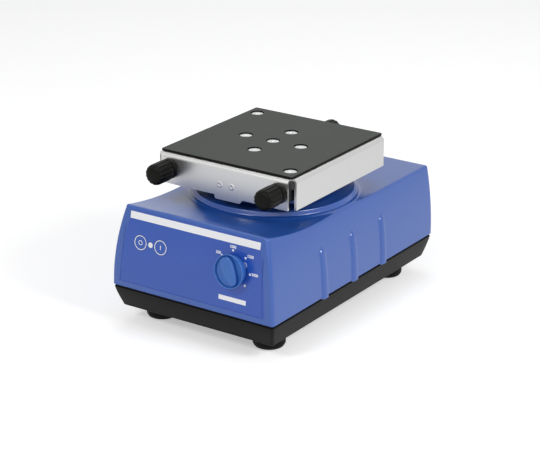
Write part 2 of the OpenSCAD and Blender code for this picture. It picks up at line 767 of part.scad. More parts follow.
module idler_lower_bearings() {
    color([0.8, 0.8, 0.82]) at_drive(bridge_z - idler_w) idler_spots()
        bearing(idler_pin_r + run_fit, idler_or, idler_w);
}

// ---- Drive, turning side ----
module motor_rotor() {
    color([0.45, 0.46, 0.5]) at_drive(stack_z0) difference() {
        cylinder(r = rotor_r, h = stack_z1 - stack_z0);
        translate([0, 0, -1]) cylinder(r = shaft_r + 0.02, h = 60);
    }
}

module drive_shaft() {
    color([0.8, 0.8, 0.82]) at_drive() rotate_extrude()
        polygon([[0, low_bearing_z + 0.3], [low_r, low_bearing_z + 0.3],
            [low_r, low_bearing_z + low_w + 0.6], [shaft_r, low_bearing_z + low_w + 0.6],
            [shaft_r, shaft_z1], [0, shaft_z1]]);
}

module eccentric_hub() {
    color([0.65, 0.65, 0.68]) difference() {
        union() {
            at_drive(hub_z0) cylinder(r = hub_r, h = hub_z1 - hub_z0);
            at_table(hub_z1 - 1) cylinder(r = shaft_r, h = pin_z1 - hub_z1 + 1);
        }
        at_drive(hub_z0 - 1) cylinder(r = shaft_r + 0.02, h = shaft_z1 - hub_z0 + 1.1);
        at_drive(hub_z0 + 5) rotate([90, 0, 0]) cylinder(r = 2.5, h = 40);
    }
}

module counterweight() {
    color([0.75, 0.62, 0.3]) at_drive(hub_z0 + 0.7) difference() {
        union() {
            cylinder(r = hub_r + 4, h = hub_z1 - hub_z0 - 1.4);
            intersection() {
                cylinder(r = weight_r, h = hub_z1 - hub_z0 - 1.4);
                translate([-weight_r - 1, 0, -1]) cube([2 * weight_r + 2, weight_r + 1, 30]);
            }
        }
        translate([0, 0, -1]) cylinder(r = hub_r + 0.02, h = 40);
        translate([0, 0, 4.3]) rotate([90, 0, 0]) cylinder(r = 2.5, h = 40);
    }
}

module eccentric_screw() {
    color([0.2, 0.2, 0.2]) at_drive(hub_z0 + 5) rotate([90, 0, 0]) translate([0, 0, shaft_r + 0.1])
        difference() {
            cylinder(r = 2.48, h = hub_r + 3.5 - shaft_r);
            translate([0, 0, hub_r + 3.5 - shaft_r - 2]) cylinder(r = 1.2, h = 3, $fn = 6);
        }
}

module idler_crank() {
    translate([0, 0, bridge_z - idler_w]) cylinder(r = idler_pin_r, h = idler_w + 2);
    translate([0, 0, crank_z0]) cylinder(r = crank_r, h = crank_z1 - crank_z0);
    translate([0, -throw, crank_z1 - 1])
        cylinder(r = idler_pin_r, h = table_bearing_z + idler_w - crank_z1 + 1);
}
module idler_at(a) {
    color([0.7, 0.7, 0.72]) at_drive() rotate(a) translate([idler_r, 0, 0]) rotate(-a) idler_crank();
}
module idler_a() { idler_at(30); }
module idler_b() { idler_at(150); }
module idler_c() { idler_at(270); }

// ---- Table and platform ----
module plate_section(w) {
    bevel = bend_r - sheet_t;
    polygon([[-w / 2, 0], [w / 2, 0], [w / 2, plate_t - bevel], [w / 2 - bevel, plate_t],
        [bevel - w / 2, plate_t], [-w / 2, plate_t - bevel]]);
}

module table_bores() {
    translate([0, 0, column_z0 - 1]) cylinder(r = main_or + 0.02, h = pin_z1 - column_z0 + 1);
    translate([0, 0, column_z0]) cylinder(r = shaft_r + 2, h = pin_z1 - column_z0 + 2);
}

module bearing_carrier() {
    color([0.75, 0.76, 0.78]) at_table() difference() {
        translate([0, 0, column_z0]) cylinder(r = column_r, h = carrier_z1 - column_z0);
        table_bores();
        idler_spots() {
            translate([0, 0, column_z0 - 1]) cylinder(r = idler_or + 0.02, h = idler_w + 2);
            translate([0, 0, column_z0]) cylinder(r = idler_pin_r + 1.5, h = idler_w + 3);
        }
    }
}

module table_neck() {
    color([0.75, 0.76, 0.78]) at_table() difference() {
        translate([0, 0, carrier_z1]) cylinder(r = neck_r, h = flange_z0 - carrier_z1);
        table_bores();
    }
}

module shaker_table() {
    color([0.75, 0.76, 0.78]) at_table() difference() {
        union() {
            translate([0, 0, flange_z0]) cylinder(r = column_r + 3, h = flange_z1 - flange_z0);
            translate([0, 0, flange_z1 - 1]) cylinder(r = neck_r, h = plate_z0 - flange_z1 + 2);
            intersection() {
                translate([0, plate_d / 2, plate_z0]) rotate([90, 0, 0]) linear_extrude(plate_d)
                    plate_section(plate_w);
                translate([-plate_w / 2, 0, plate_z0]) rotate([90, 0, 90]) linear_extrude(plate_w)
                    plate_section(plate_d);
            }
            for (a = [0, 90]) rotate(a)
                translate([-plate_w / 2 + 8, -3, flange_z1 + 3])
                    cube([plate_w - 16, 6, plate_z0 - flange_z1 - 2]);
            for (p = clamp_spots)
                translate([p[0] * clamp_span / 2 - block_w / 2,
                    p[1] * (plate_d / 2 - block_d / 2) - block_d / 2, clamp_z - stud_r - 3.5])
                    cube([block_w, block_d, plate_z0 - clamp_z + stud_r + 4.5]);
        }
        for (p = screw_spots) translate([p[0], p[1], plate_z0 + 0.2])
            cylinder(r = deck_screw_r + 0.02, h = plate_t + 1);
        for (p = clamp_spots)
            translate([p[0] * clamp_span / 2, p[1] * (plate_d / 2 + 1), clamp_z])
                rotate([p[1] * 90, 0, 0]) cylinder(r = stud_r + slip_fit, h = stud_depth + 2);
    }
}

module table_bearings() {
    color([0.8, 0.8, 0.82]) at_table() for (k = [0, 1])
        translate([0, 0, table_bearing_z + k * (main_w + bearing_gap)])
            bearing(shaft_r + run_fit, main_or, main_w);
}

module idler_upper_bearings() {
    color([0.8, 0.8, 0.82]) at_table(table_bearing_z) idler_spots()
        bearing(idler_pin_r + run_fit, idler_or, idler_w);
}

module splash_guard() {
    color([0.2, 0.27, 0.5]) at_table(guard_z0) difference() {
        cylinder(r = guard_r, h = guard_t);
        translate([0, 0, -1]) cylinder(r = column_r + slip_fit, h = guard_t + 2);
    }
}

// Section of a folded channel: open at the bottom, with round upper edges
module channel(w) {
    difference() {
        union() {
            translate([-w / 2, -flange_h]) square([w, flange_h - bend_r]);
            translate([-w / 2 + bend_r, -bend_r - 1]) square([w - 2 * bend_r, bend_r + 1]);
            for (s = [-1, 1]) translate([s * (w / 2 - bend_r), -bend_r]) circle(bend_r);
        }
        inner_r = bend_r - sheet_t;
        translate([-w / 2 + sheet_t, -flange_h - 1]) square([w - 2 * sheet_t, flange_h + 1 - bend_r]);
        translate([-w / 2 + bend_r, -bend_r - 1]) square([w - 2 * bend_r, bend_r + 1 - sheet_t]);
        for (s = [-1, 1]) translate([s * (w / 2 - bend_r), -bend_r]) circle(inner_r);
    }
}

module platform_pan() {
    color([0.82, 0.83, 0.84]) at_table(deck_z) difference() {
        union() {
            translate([0, pan_d / 2 - corner_cut, 0]) rotate([90, 0, 0])
                linear_extrude(pan_d - 2 * corner_cut)
                channel(pan_w);
            translate([-pan_w / 2 + corner_cut, 0, 0]) rotate([90, 0, 90])
                linear_extrude(pan_w - 2 * corner_cut)
                channel(pan_d);
            translate([tab_x, -pan_d / 2 + sheet_t, -flange_h]) rotate([90, 0, 0]) linear_extrude(sheet_t)
                polygon([[-tab_w / 2, 1], [-tab_w / 2, -tab_h + 1], [-tab_w / 2 + 1, -tab_h],
                    [tab_w / 2 - 3, -tab_h], [tab_w / 2, -tab_h + 3], [tab_w / 2, 1]]);
        }
        for (p = screw_spots) translate([p[0], p[1], -sheet_t])
            cylinder(r1 = deck_screw_r + slip_fit, r2 = deck_head_r + slip_fit, h = sheet_t + eps);
        for (p = clamp_spots)
            translate([p[0] * clamp_span / 2, p[1] * (pan_d / 2 - 2 * sheet_t), -clamp_drop])
                rotate([-p[1] * 90, 0, 0]) cylinder(r = stud_r + 0.3, h = 3 * sheet_t);
    }
}

module mat() {
    color([0.3, 0.31, 0.3]) at_table(deck_z) difference() {
        linear_extrude(mat_t) rounded_bar(mat_w, mat_d, 1.2);
        for (p = screw_spots) translate([p[0], p[1], -1]) cylinder(r = mat_hole_r, h = mat_t + 2);
    }
}

module platform_screws() {
    color([0.8, 0.8, 0.82]) at_table(deck_z - sheet_t) for (p = screw_spots)
        translate([p[0], p[1], 0]) difference() {
            union() {
                translate([0, 0, 0]) cylinder(r1 = deck_screw_r, r2 = deck_head_r, h = sheet_t);
                translate([0, 0, -plate_t + 0.4]) cylinder(r = deck_screw_r, h = plate_t);
            }
            translate([0, 0, sheet_t - 1.3]) cylinder(r = 1.5, h = 2, $fn = 6);
        }
}

// ---- Clamp knobs: drawn along +Z from the flange's face ----
module clamp_at(sx, sy) {
    at_table() translate([sx * clamp_span / 2, sy * pan_d / 2, clamp_z]) rotate([-sy * 90, 0, 0]) children();
}

module clamp_knob() {
    foot_t = 4;
    neck_z = foot_t + 1.2;
    dome = 3;
    color([0.07, 0.07, 0.06]) translate([0, 0, seat]) difference() {
        rotate_extrude() polygon([[stud_r + 0.02, 0], [clamp_r - 0.8, 0], [clamp_r - 0.3, 0.6],
            [clamp_r - 0.3, foot_t - 0.4], [clamp_r - 0.8, foot_t], [clamp_r - 1.4, foot_t],
            [clamp_r - 1.4, neck_z], [clamp_r, neck_z + 0.8], [clamp_r, clamp_len - dome],
            [clamp_r - 0.7, clamp_len - 1.4], [clamp_r - 2.3, clamp_len - 0.4], [clamp_r - 4.5, clamp_len],
            [0, clamp_len], [0, clamp_len - 9], [stud_r + 0.02, clamp_len - 9]]);
        for (a = [0:360 / flute_count:359]) rotate(a)
            translate([clamp_r + 0.75, 0, neck_z]) cylinder(r = 1.3, h = clamp_len, $fn = 24);
    }
}

module clamp_stud() {
    reach = sheet_t + pan_fit + stud_depth;
    color([0.75, 0.75, 0.76]) translate([0, 0, -reach])
        cylinder(r = stud_r, h = reach + seat + clamp_len - 9.2);
}

module clamp_knob_fl() { clamp_at(-1, -1) clamp_knob(); }
module clamp_knob_fr() { clamp_at(1, -1) clamp_knob(); }
module clamp_knob_rear() { clamp_at(0, 1) clamp_knob(); }
module clamp_stud_fl() { clamp_at(-1, -1) clamp_stud(); }
module clamp_stud_fr() { clamp_at(1, -1) clamp_stud(); }
module clamp_stud_rear() { clamp_at(0, 1) clamp_stud(); }

// ---- Controls ----
module speed_knob() {
    floor_h = 3.6;
    rim_h = dial_h - 2;
    color([0.25, 0.34, 0.62]) on_panel(dial_x, dial_z) rotate(grip_angle) difference() {
        union() {
            translate([0, 0, knob_gap]) cylinder(r = dial_r, h = floor_h - knob_gap);
            difference() {
                cylinder(r = dial_r, h = rim_h);
                translate([0, 0, -1]) cylinder(r = dial_r - 1.3, h = dial_h + 1);
                translate([0, 0, -1]) cylinder(r = dial_r + 1, h = knob_gap + 1);
            }
            intersection() {
                translate([0, 0, knob_gap]) cylinder(r = dial_r, h = dial_h - knob_gap);
                translate([0, 0, dial_h / 2]) cube([grip_w, 3 * dial_r, dial_h], center = true);
            }
        }
        cylinder(r = 3 + 0.02, h = dial_h - 2.5);
    }
}

module knob_shaft() {
    color([0.8, 0.8, 0.82]) on_panel(dial_x, dial_z)
        translate([0, 0, -board_back + 1.5]) cylinder(r = 3, h = board_back + dial_h - 4.2);
}

module key_cap(x) {
    color([0.24, 0.33, 0.62]) on_panel(x, key_z) {
        translate([0, 0, -wall - 1]) cylinder(r = key_r, h = wall + 1.2);
        translate([-2.5, -key_lug_r, -wall - seat - key_flange_t]) cube([5, 2 * key_lug_r, key_flange_t]);
        translate([0, 0, -wall - key_flange_t - 3 + key_travel + 0.1])
            cylinder(r = 2, h = 3.2);
    }
}
module off_key() { key_cap(off_x); }
module on_key() { key_cap(on_x); }

placed() upper_housing();
placed() collar_ring();
placed() front_foil();
placed() housing_seal();
placed() base_tray();
placed() ballast_plate();
placed() foot_fl();
placed() foot_fr();
placed() foot_rl();
placed() foot_rr();
placed() foot_screws();
placed() case_screws();
placed() control_board();
placed() board_screws();
placed() potentiometer();
placed() key_switches();
placed() power_led();
placed() led_lens();
placed() power_board();
placed() transformer();
placed() capacitors();
placed() mains_inlet();
placed() inlet_pins();
placed() fuse_drawer();
placed() bridge_plate();
placed() bridge_posts();
placed() bridge_screws();
placed() motor_can();
placed() motor_stator();
placed() motor_screws();
placed() motor_bearings();
placed() idler_lower_bearings();
placed() motor_rotor();
placed() drive_shaft();
placed() eccentric_hub();
placed() counterweight();
placed() eccentric_screw();
placed() idler_a();
placed() idler_b();
placed() idler_c();
placed() shaker_table();
placed() table_neck();
placed() bearing_carrier();
placed() table_bearings();
placed() idler_upper_bearings();
placed() splash_guard();
placed() platform_pan();
placed() mat();
placed() platform_screws();
placed() clamp_knob_fl();
placed() clamp_knob_fr();
placed() clamp_knob_rear();
placed() clamp_stud_fl();
placed() clamp_stud_fr();
placed() clamp_stud_rear();
placed() speed_knob();
placed() knob_shaft();
placed() off_key();
placed() on_key();
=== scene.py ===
# %% [markdown]
# # A small orbital shaker
# A bench shaker is a moulded housing on a dark tray. An eccentric drive under the round
# collar moves a sheet-metal platform on a small circle. The fixed frame holds every solid
# piece with its real size, so this lesson gives each one its finish, and makes the visible
# shells again where soft edges and rounded ribs matter. First the frame is loaded, and the
# box of the housing is kept to find the middle that the pieces are drawn about.

# %% Load the fixed frame
import json
import math
import bpy
import bmesh
from mathutils import Matrix, Vector


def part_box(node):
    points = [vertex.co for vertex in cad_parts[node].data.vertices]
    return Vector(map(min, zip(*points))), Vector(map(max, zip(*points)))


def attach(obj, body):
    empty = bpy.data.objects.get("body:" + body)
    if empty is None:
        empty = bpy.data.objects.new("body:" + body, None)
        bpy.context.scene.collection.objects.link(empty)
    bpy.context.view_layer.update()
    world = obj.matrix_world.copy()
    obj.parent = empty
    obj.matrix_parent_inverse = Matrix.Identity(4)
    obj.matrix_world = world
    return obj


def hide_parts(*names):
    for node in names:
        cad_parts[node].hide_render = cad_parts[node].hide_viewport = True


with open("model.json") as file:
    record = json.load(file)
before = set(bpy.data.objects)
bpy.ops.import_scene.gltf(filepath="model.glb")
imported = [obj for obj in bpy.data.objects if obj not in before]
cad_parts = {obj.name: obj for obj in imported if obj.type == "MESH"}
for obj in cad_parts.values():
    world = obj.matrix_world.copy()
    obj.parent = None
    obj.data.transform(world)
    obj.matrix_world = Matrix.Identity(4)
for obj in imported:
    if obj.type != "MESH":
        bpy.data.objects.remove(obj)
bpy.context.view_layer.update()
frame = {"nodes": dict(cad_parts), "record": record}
MM = 0.001
housing_low, housing_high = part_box("upper_housing")
middle_y = (housing_low.y + housing_high.y) / 2 / MM

# %% [markdown]
# ## The camera
# A product picture is taken from the front right, a little above, with a long lens, so that
# upright edges stay almost parallel. The camera's three axes are written from its azimuth
# and elevation, because that is easier to check than three Euler angles.

# %% Place the camera
def place_camera(azimuth, elevation, roll, spot, lens, shift):
    a, e, r = (math.radians(v) for v in (azimuth, elevation, roll))
    back = Vector((math.sin(a) * math.cos(e), -math.cos(a) * math.cos(e), math.sin(e)))
    right = Vector((math.cos(a), math.sin(a), 0))
    up = back.cross(right)
    right, up = right * math.cos(r) + up * math.sin(r), up * math.cos(r) - right * math.sin(r)
    data = bpy.data.cameras.new("product_camera")
    data.lens = lens
    data.sensor_width = 36
    data.clip_end = 20
    data.shift_x = shift
    camera = bpy.data.objects.new("product_camera", data)
    bpy.context.scene.collection.objects.link(camera)
    camera.matrix_world = Matrix.Translation(spot) @ Matrix((right, up, back)).transposed().to_4x4()
    bpy.context.scene.camera = camera

camera_spot = Vector((820.3, -1225.7 + middle_y, 622.4)) * MM
place_camera(azimuth=34.06, elevation=20.80, roll=0.20, spot=camera_spot, lens=125.87, shift=0.0007)
bpy.context.scene.view_settings.view_transform = "Standard"
print("camera", [round(v, 3) for v in camera_spot])

# %% [markdown]
# ## Light
# A studio lights a small product with soft boxes, so that glossy plastic shows long, gentle
# reflections. A large box stands above and behind, smaller and stronger ones to the right and
# at the front draw crisp lines on the collar, and a low one at the front right reaches under
# the platform. Point lamps would be quicker to place but give hard, unkind shadows. The
# lamps stay at a plain level, so a colour renders about as it is written.

# %% Soft boxes
aim = (0, 0, 0.07)

def soft_box(name, spot, size, power):
    data = bpy.data.lights.new(name, "AREA")
    data.shape = "RECTANGLE"
    data.size, data.size_y = size
    data.energy = power
    lamp = bpy.data.objects.new(name, data)
    bpy.context.scene.collection.objects.link(lamp)
    lamp.location = spot
    lamp.rotation_euler = (Vector(aim) - Vector(spot)).to_track_quat("-Z", "Y").to_euler()

soft_box("top_box", (-0.25, 0.55, 1.35), (1.1, 0.9), 3.6)
soft_box("right_box", (1.35, -0.1, 0.95), (0.5, 0.5), 11.5)
soft_box("front_box", (-0.2, -1.25, 1.05), (0.4, 0.35), 6.4)
soft_box("low_fill", (0.45, -1.3, 0.42), (1.0, 0.4), 1.2)
print("lamps", len(bpy.data.lights))

# %% [markdown]
# ## White round about
# A product stands before white paper. A world as bright as that would wash the colours out, so
# the world is white only where the camera, a reflection or glass looks at it, and gives about
# a third of that as light. The floor adds a glow in the same way, and keeps the shadow. A
# white card behind the object would look the same, but then metal would have little to mirror.

# %% World
def seen_directly(tree, path):
    total = path.outputs["Is Camera Ray"]
    for label in ("Is Glossy Ray", "Is Transmission Ray"):
        node = tree.nodes.new("ShaderNodeMath")
        node.operation = "MAXIMUM"
        tree.links.new(total, node.inputs[0])
        tree.links.new(path.outputs[label], node.inputs[1])
        total = node.outputs[0]
    return total

def build_world(strength):
    world = bpy.data.worlds.new("studio")
    bpy.context.scene.world = world
    world.use_nodes = True
    tree = world.node_tree
    tree.nodes.clear()
    path = tree.nodes.new("ShaderNodeLightPath")
    seen = seen_directly(tree, path)
    white = tree.nodes.new("ShaderNodeBackground")
    white.inputs["Color"].default_value = (1, 1, 1, 1)
    white.inputs["Strength"].default_value = 1.0
    soft = tree.nodes.new("ShaderNodeBackground")
    soft.inputs["Color"].default_value = (0.97, 0.98, 1.0, 1)
    soft.inputs["Strength"].default_value = strength
    mix = tree.nodes.new("ShaderNodeMixShader")
    out = tree.nodes.new("ShaderNodeOutputWorld")
    tree.links.new(seen, mix.inputs[0])
    tree.links.new(soft.outputs[0], mix.inputs[1])
    tree.links.new(white.outputs[0], mix.inputs[2])
    tree.links.new(mix.outputs[0], out.inputs["Surface"])

build_world(0.3)
print("world", bpy.context.scene.world.name)

# %% Floor
floor_glow = 0.42

def build_floor():
    bm = bmesh.new()
    bmesh.ops.create_grid(bm, x_segments=8, y_segments=8, size=4)
    mesh = bpy.data.meshes.new("studio_floor")
    bm.to_mesh(mesh)
    bm.free()
    floor = bpy.data.objects.new("studio_floor", mesh)
    bpy.context.scene.collection.objects.link(floor)
    paint = bpy.data.materials.new("floor_white")
    paint.use_nodes = True
    tree = paint.node_tree
    shader = tree.nodes["Principled BSDF"]
    shader.inputs["Base Color"].default_value = (0.86, 0.86, 0.86, 1)
    shader.inputs["Roughness"].default_value = 0.9
    glow = tree.nodes.new("ShaderNodeEmission")
    glow.inputs["Color"].default_value = (1, 1, 1, 1)
    path = tree.nodes.new("ShaderNodeLightPath")
    level = tree.nodes.new("ShaderNodeMath")
    level.operation = "MULTIPLY"
    level.inputs[1].default_value = floor_glow
    tree.links.new(seen_directly(tree, path), level.inputs[0])
    tree.links.new(level.outputs[0], glow.inputs["Strength"])
    both = tree.nodes.new("ShaderNodeAddShader")
    tree.links.new(shader.outputs[0], both.inputs[0])
    tree.links.new(glow.outputs[0], both.inputs[1])
    tree.links.new(both.outputs[0], tree.nodes["Material Output"].inputs["Surface"])
    mesh.materials.append(paint)

build_floor()
print("floor glow", floor_glow)

# %% [markdown]
# ## Effects shared by several finishes
# Moulded plastic has a very fine grain and slightly uneven gloss, and rolled or turned metal has
# fine lines. Each effect is a node group with named inputs, built once and placed in every
# material that needs it with its own values. The groups put out only what changes over the
# surface: a colour, a roughness and a height. One long node tree in every material would look
# the same, but a change of the grain would then be made twenty times.

# %% Node group helpers
def start_group(name, own_inputs):
    group = bpy.data.node_groups.new(name, "ShaderNodeTree")
    inputs = [("Color", "NodeSocketColor", (0.5, 0.5, 0.5, 1)), ("Roughness", "NodeSocketFloat", 0.4)]
    for label, kind, value in inputs + own_inputs:
        socket = group.interface.new_socket(label, in_out="INPUT", socket_type=kind)
        socket.default_value = value
    for label in ("Color", "Roughness", "Height"):
        kind = "NodeSocketColor" if label == "Color" else "NodeSocketFloat"
        group.interface.new_socket(label, in_out="OUTPUT", socket_type=kind)
    way_in = group.nodes.new("NodeGroupInput")
    place = group.nodes.new("ShaderNodeTexCoord")
    return group, way_in.outputs, place.outputs["Object"]

def feed(tree, socket, value):
    if isinstance(value, (int, float)):
        socket.default_value = value
    else:
        tree.links.new(value, socket)

def math_node(tree, operation, *values):
    node = tree.nodes.new("ShaderNodeMath")
    node.operation = operation
    for socket, value in zip(node.inputs, values):
        feed(tree, socket, value)
    return node.outputs[0]

def noise_node(tree, place, scale, detail):
    node = tree.nodes.new("ShaderNodeTexNoise")
    tree.links.new(place, node.inputs["Vector"])
    feed(tree, node.inputs["Scale"], scale)
    feed(tree, node.inputs["Detail"], detail)
    return node.outputs["Fac"]

def close_group(tree, color, shade, roughness, height):
    tint = tree.nodes.new("ShaderNodeVectorMath")
    tint.operation = "SCALE"
    tree.links.new(color, tint.inputs[0])
    tree.links.new(shade, tint.inputs["Scale"])
    way_out = tree.nodes.new("NodeGroupOutput")
    tree.links.new(tint.outputs[0], way_out.inputs["Color"])
    tree.links.new(roughness, way_out.inputs["Roughness"])
    tree.links.new(height, way_out.inputs["Height"])
    return tree

print("group helpers ready")

# %% Group: moulded skin
cloud_scale, cloud_shade = 14, 0.9

def build_moulded_skin():
    tree, given, place = start_group("moulded_skin", [
        ("Grain Scale", "NodeSocketFloat", 2500.0), ("Unevenness", "NodeSocketFloat", 0.1)])
    cloud = noise_node(tree, place, cloud_scale, 3)
    grain = noise_node(tree, place, given["Grain Scale"], 2)
    amount = math_node(tree, "MULTIPLY", math_node(tree, "SUBTRACT", cloud, 0.5), given["Unevenness"])
    rough = math_node(tree, "ADD", given["Roughness"], amount)
    fleck = math_node(tree, "SUBTRACT", grain, 0.5)
    fine = math_node(tree, "MULTIPLY_ADD", fleck, given["Unevenness"], rough)
    shade = math_node(tree, "MULTIPLY_ADD", amount, cloud_shade, 1.0)
    return close_group(tree, given["Color"], shade, fine, grain)

moulded_skin = build_moulded_skin()
print("group", moulded_skin.name)

# %% Group: drawn lines
smudge_scale, smudge_share = 22, 0.6

def build_drawn_lines():
    tree, given, place = start_group("drawn_lines", [
        ("Stretch", "NodeSocketVector", (40.0, 1500.0, 1500.0)), ("Contrast", "NodeSocketFloat", 0.15)])
    pulled = tree.nodes.new("ShaderNodeVectorMath")
    pulled.operation = "MULTIPLY"
    tree.links.new(place, pulled.inputs[0])
    tree.links.new(given["Stretch"], pulled.inputs[1])
    lines = noise_node(tree, pulled.outputs[0], 1.0, 3)
    cloud = noise_node(tree, place, smudge_scale, 2)
    centred = math_node(tree, "SUBTRACT", lines, 0.5)
    smudge = math_node(tree, "SUBTRACT", cloud, 0.5)
    both = math_node(tree, "MULTIPLY_ADD", smudge, smudge_share, centred)
    rough = math_node(tree, "MULTIPLY_ADD", both, given["Contrast"], given["Roughness"])
    shade = math_node(tree, "MULTIPLY_ADD", centred, given["Contrast"], 1.0)
    return close_group(tree, given["Color"], shade, rough, lines)

drawn_lines = build_drawn_lines()
print("group", drawn_lines.name)

# %% [markdown]
# ## Finishes
# The shaker is glossy blue plastic, dull black plastic and rubber, and bright sheet steel, and
# its drive adds cast, turned and wound metal. Each finish is one Principled BSDF fed by one of
# the groups. Plain numbers, such as the metallic value or the coat, are set on the shader
# itself, because they don't change over the surface. The colours are linear values. After the
# roughness come the group's own two values: grain and unevenness, or stretch and contrast. The
# castings under the platform are painted near black as shade, so the slots above them look deep.

# %% Finish helpers
finishes = {}
relief_depth = 0.00002

def finish(name, group, color, roughness, values, bump=0.05, **sockets):
    material = bpy.data.materials.new(name)
    material.use_nodes = True
    tree = material.node_tree
    shader = tree.nodes["Principled BSDF"]
    effect = tree.nodes.new("ShaderNodeGroup")
    effect.node_tree = group
    effect.inputs["Color"].default_value = (*color, 1)
    effect.inputs["Roughness"].default_value = roughness
    for label, value in values.items():
        effect.inputs[label].default_value = value
    tree.links.new(effect.outputs["Color"], shader.inputs["Base Color"])
    tree.links.new(effect.outputs["Roughness"], shader.inputs["Roughness"])
    relief = tree.nodes.new("ShaderNodeBump")
    relief.inputs["Strength"].default_value = bump
    relief.inputs["Distance"].default_value = relief_depth
    tree.links.new(effect.outputs["Height"], relief.inputs["Height"])
    tree.links.new(relief.outputs["Normal"], shader.inputs["Normal"])
    for label, value in sockets.items():
        shader.inputs[label.replace("_", " ")].default_value = value
    finishes[name] = material

def moulded(name, color, roughness, grain, unevenness, **others):
    values = {"Grain Scale": grain, "Unevenness": unevenness}
    finish(name, moulded_skin, color, roughness, values, **others)

def drawn(name, color, roughness, stretch, contrast, **others):
    values = {"Stretch": stretch, "Contrast": contrast}
    finish(name, drawn_lines, color, roughness, values, **others)

print("finish helpers ready")

# %% The finishes of this shaker
moulded("housing_blue", (0.020, 0.096, 0.42), 0.24, 1800, 0.03, bump=0.02, Specular_IOR_Level=0.75)
moulded("foil_blue", (0.019, 0.086, 0.45), 0.27, 5000, 0.04, bump=0.02, Specular_IOR_Level=0.6)
moulded("dial_blue", (0.034, 0.145, 0.49), 0.3, 2500, 0.05, bump=0.02)
moulded("tray_black", (0.0013, 0.0011, 0.0008), 0.45, 2200, 0.12, bump=0.2, Specular_IOR_Level=0.15)
moulded("black_rubber", (0.002, 0.0018, 0.0013), 0.62, 1500, 0.2, bump=0.3, Specular_IOR_Level=0.15)
moulded("mat_rubber", (0.066, 0.072, 0.066), 0.6, 900, 0.16, bump=0.25, Specular_IOR_Level=0.12)
moulded("knob_black", (0.0016, 0.0013, 0.0008), 0.38, 2400, 0.12, bump=0.2, Specular_IOR_Level=0.12)
moulded("switch_black", (0.02, 0.02, 0.021), 0.4, 2600, 0.12)
drawn("sheet_steel", (0.57, 0.57, 0.565), 0.36, (60, 60, 2400), 0.10, Metallic=1.0)
drawn("screw_steel", (0.72, 0.72, 0.73), 0.25, (900, 900, 900), 0.15, Metallic=1.0)
drawn("bearing_steel", (0.75, 0.75, 0.77), 0.16, (900, 900, 900), 0.1, Metallic=1.0)
moulded("dark_steel", (0.06, 0.06, 0.065), 0.5, 900, 0.2, bump=0.2)
drawn("core_steel", (0.35, 0.35, 0.37), 0.4, (60, 60, 4000), 0.4, Metallic=1.0)
moulded("can_grey", (0.25, 0.26, 0.28), 0.45, 1300, 0.15)
# Painted shade: the castings get a near-black colour so the slots and gaps above them look dark.
moulded("cast_alloy", (0.018, 0.018, 0.02), 0.5, 1100, 0.2, bump=0.25)
drawn("winding_copper", (0.55, 0.2, 0.06), 0.3, (30, 30, 3000), 0.4, bump=0.5, Metallic=0.6)
drawn("pin_brass", (0.68, 0.5, 0.2), 0.25, (700, 700, 700), 0.12, Metallic=1.0)
moulded("board_green", (0.02, 0.16, 0.05), 0.3, 700, 0.2)
moulded("sleeve_dark", (0.03, 0.03, 0.1), 0.3, 1500, 0.1)
moulded("led_white", (0.85, 0.86, 0.85), 0.3, 2500, 0.05)
moulded("lens_clear", (0.86, 0.88, 0.87), 0.15, 2500, 0.05, Coat_Weight=0.5)
# Painted shade: a darker blue for the line that stands for the shadow at the foil's edge.
moulded("edge_shade_blue", (0.017, 0.062, 0.40), 0.4, 4000, 0.05, Specular_IOR_Level=0.5)
moulded("print_white", (0.93, 0.94, 0.96), 0.4, 4000, 0.05)
print("finishes", len(finishes))

# %% Give every solid its finish
slots = {part["node"]: part["material_slot"] for part in frame["record"]["subparts"]}
for name, node in frame["nodes"].items():
    node.data.materials.clear()
    node.data.materials.append(finishes[slots[name]])
print("dressed solids", len(slots))

# %% [markdown]
# ## Working in millimetres
# The pieces are shaped in millimetres about the middle of the housing, as on a drawing, and
# one helper turns a finished bmesh into an object in metres, in the frame's own place. They
# could be modelled in metres at once, but a drawing's numbers are easier to read and check.

# %% Helper that turns a bmesh into a piece
weld_mm = 0.004

def crease(bm, flat_angle):
    for face in bm.faces:
        face.smooth = True
    for edge in bm.edges:
        edge.smooth = len(edge.link_faces) != 2 or edge.calc_face_angle(0) < math.radians(flat_angle)

def to_object(bm, name, flat_angle):
    bmesh.ops.recalc_face_normals(bm, faces=bm.faces)
    bmesh.ops.scale(bm, vec=(MM, MM, MM), verts=bm.verts)
    bmesh.ops.translate(bm, vec=(0, middle_y * MM, 0), verts=bm.verts)
    crease(bm, flat_angle)
    mesh = bpy.data.meshes.new(name)
    bm.to_mesh(mesh)
    bm.free()
    thing = bpy.data.objects.new(name, mesh)
    bpy.context.scene.collection.objects.link(thing)
    return thing

def make_piece(bm, name, body, slot, flat_angle=32, color=None):
    bmesh.ops.remove_doubles(bm, verts=bm.verts, dist=weld_mm)
    piece = to_object(bm, name, flat_angle)
    piece.data.materials.append(finishes[color or slot])
    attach(piece, body)
    return piece

def pull_rings(bm, places):
    ring = bmesh.ops.create_circle(bm, segments=len(places[0]), radius=1)["verts"]
    for vert, place in zip(ring, places[0]):
        vert.co = place
    edges = [ring[i].link_edges for i in range(len(ring))]
    edges = list({edge for group in edges for edge in group})
    for level in places[1:]:
        order = {vert: i for i, vert in enumerate(ring)}
        made = bmesh.ops.extrude_edge_only(bm, edges=edges)["geom"]
        fresh = [item for item in made if isinstance(item, bmesh.types.BMVert)]
        edges = [item for item in made if isinstance(item, bmesh.types.BMEdge)]
        ring = [None] * len(level)
        for vert in fresh:
            old = next(e.other_vert(vert) for e in vert.link_edges if e.other_vert(vert) in order)
            ring[order[old]] = vert
        for vert, place in zip(ring, level):
            vert.co = place
        members = set(ring)
        edges = [e for e in edges if all(v in members for v in e.verts)]

print("piece helpers ready")

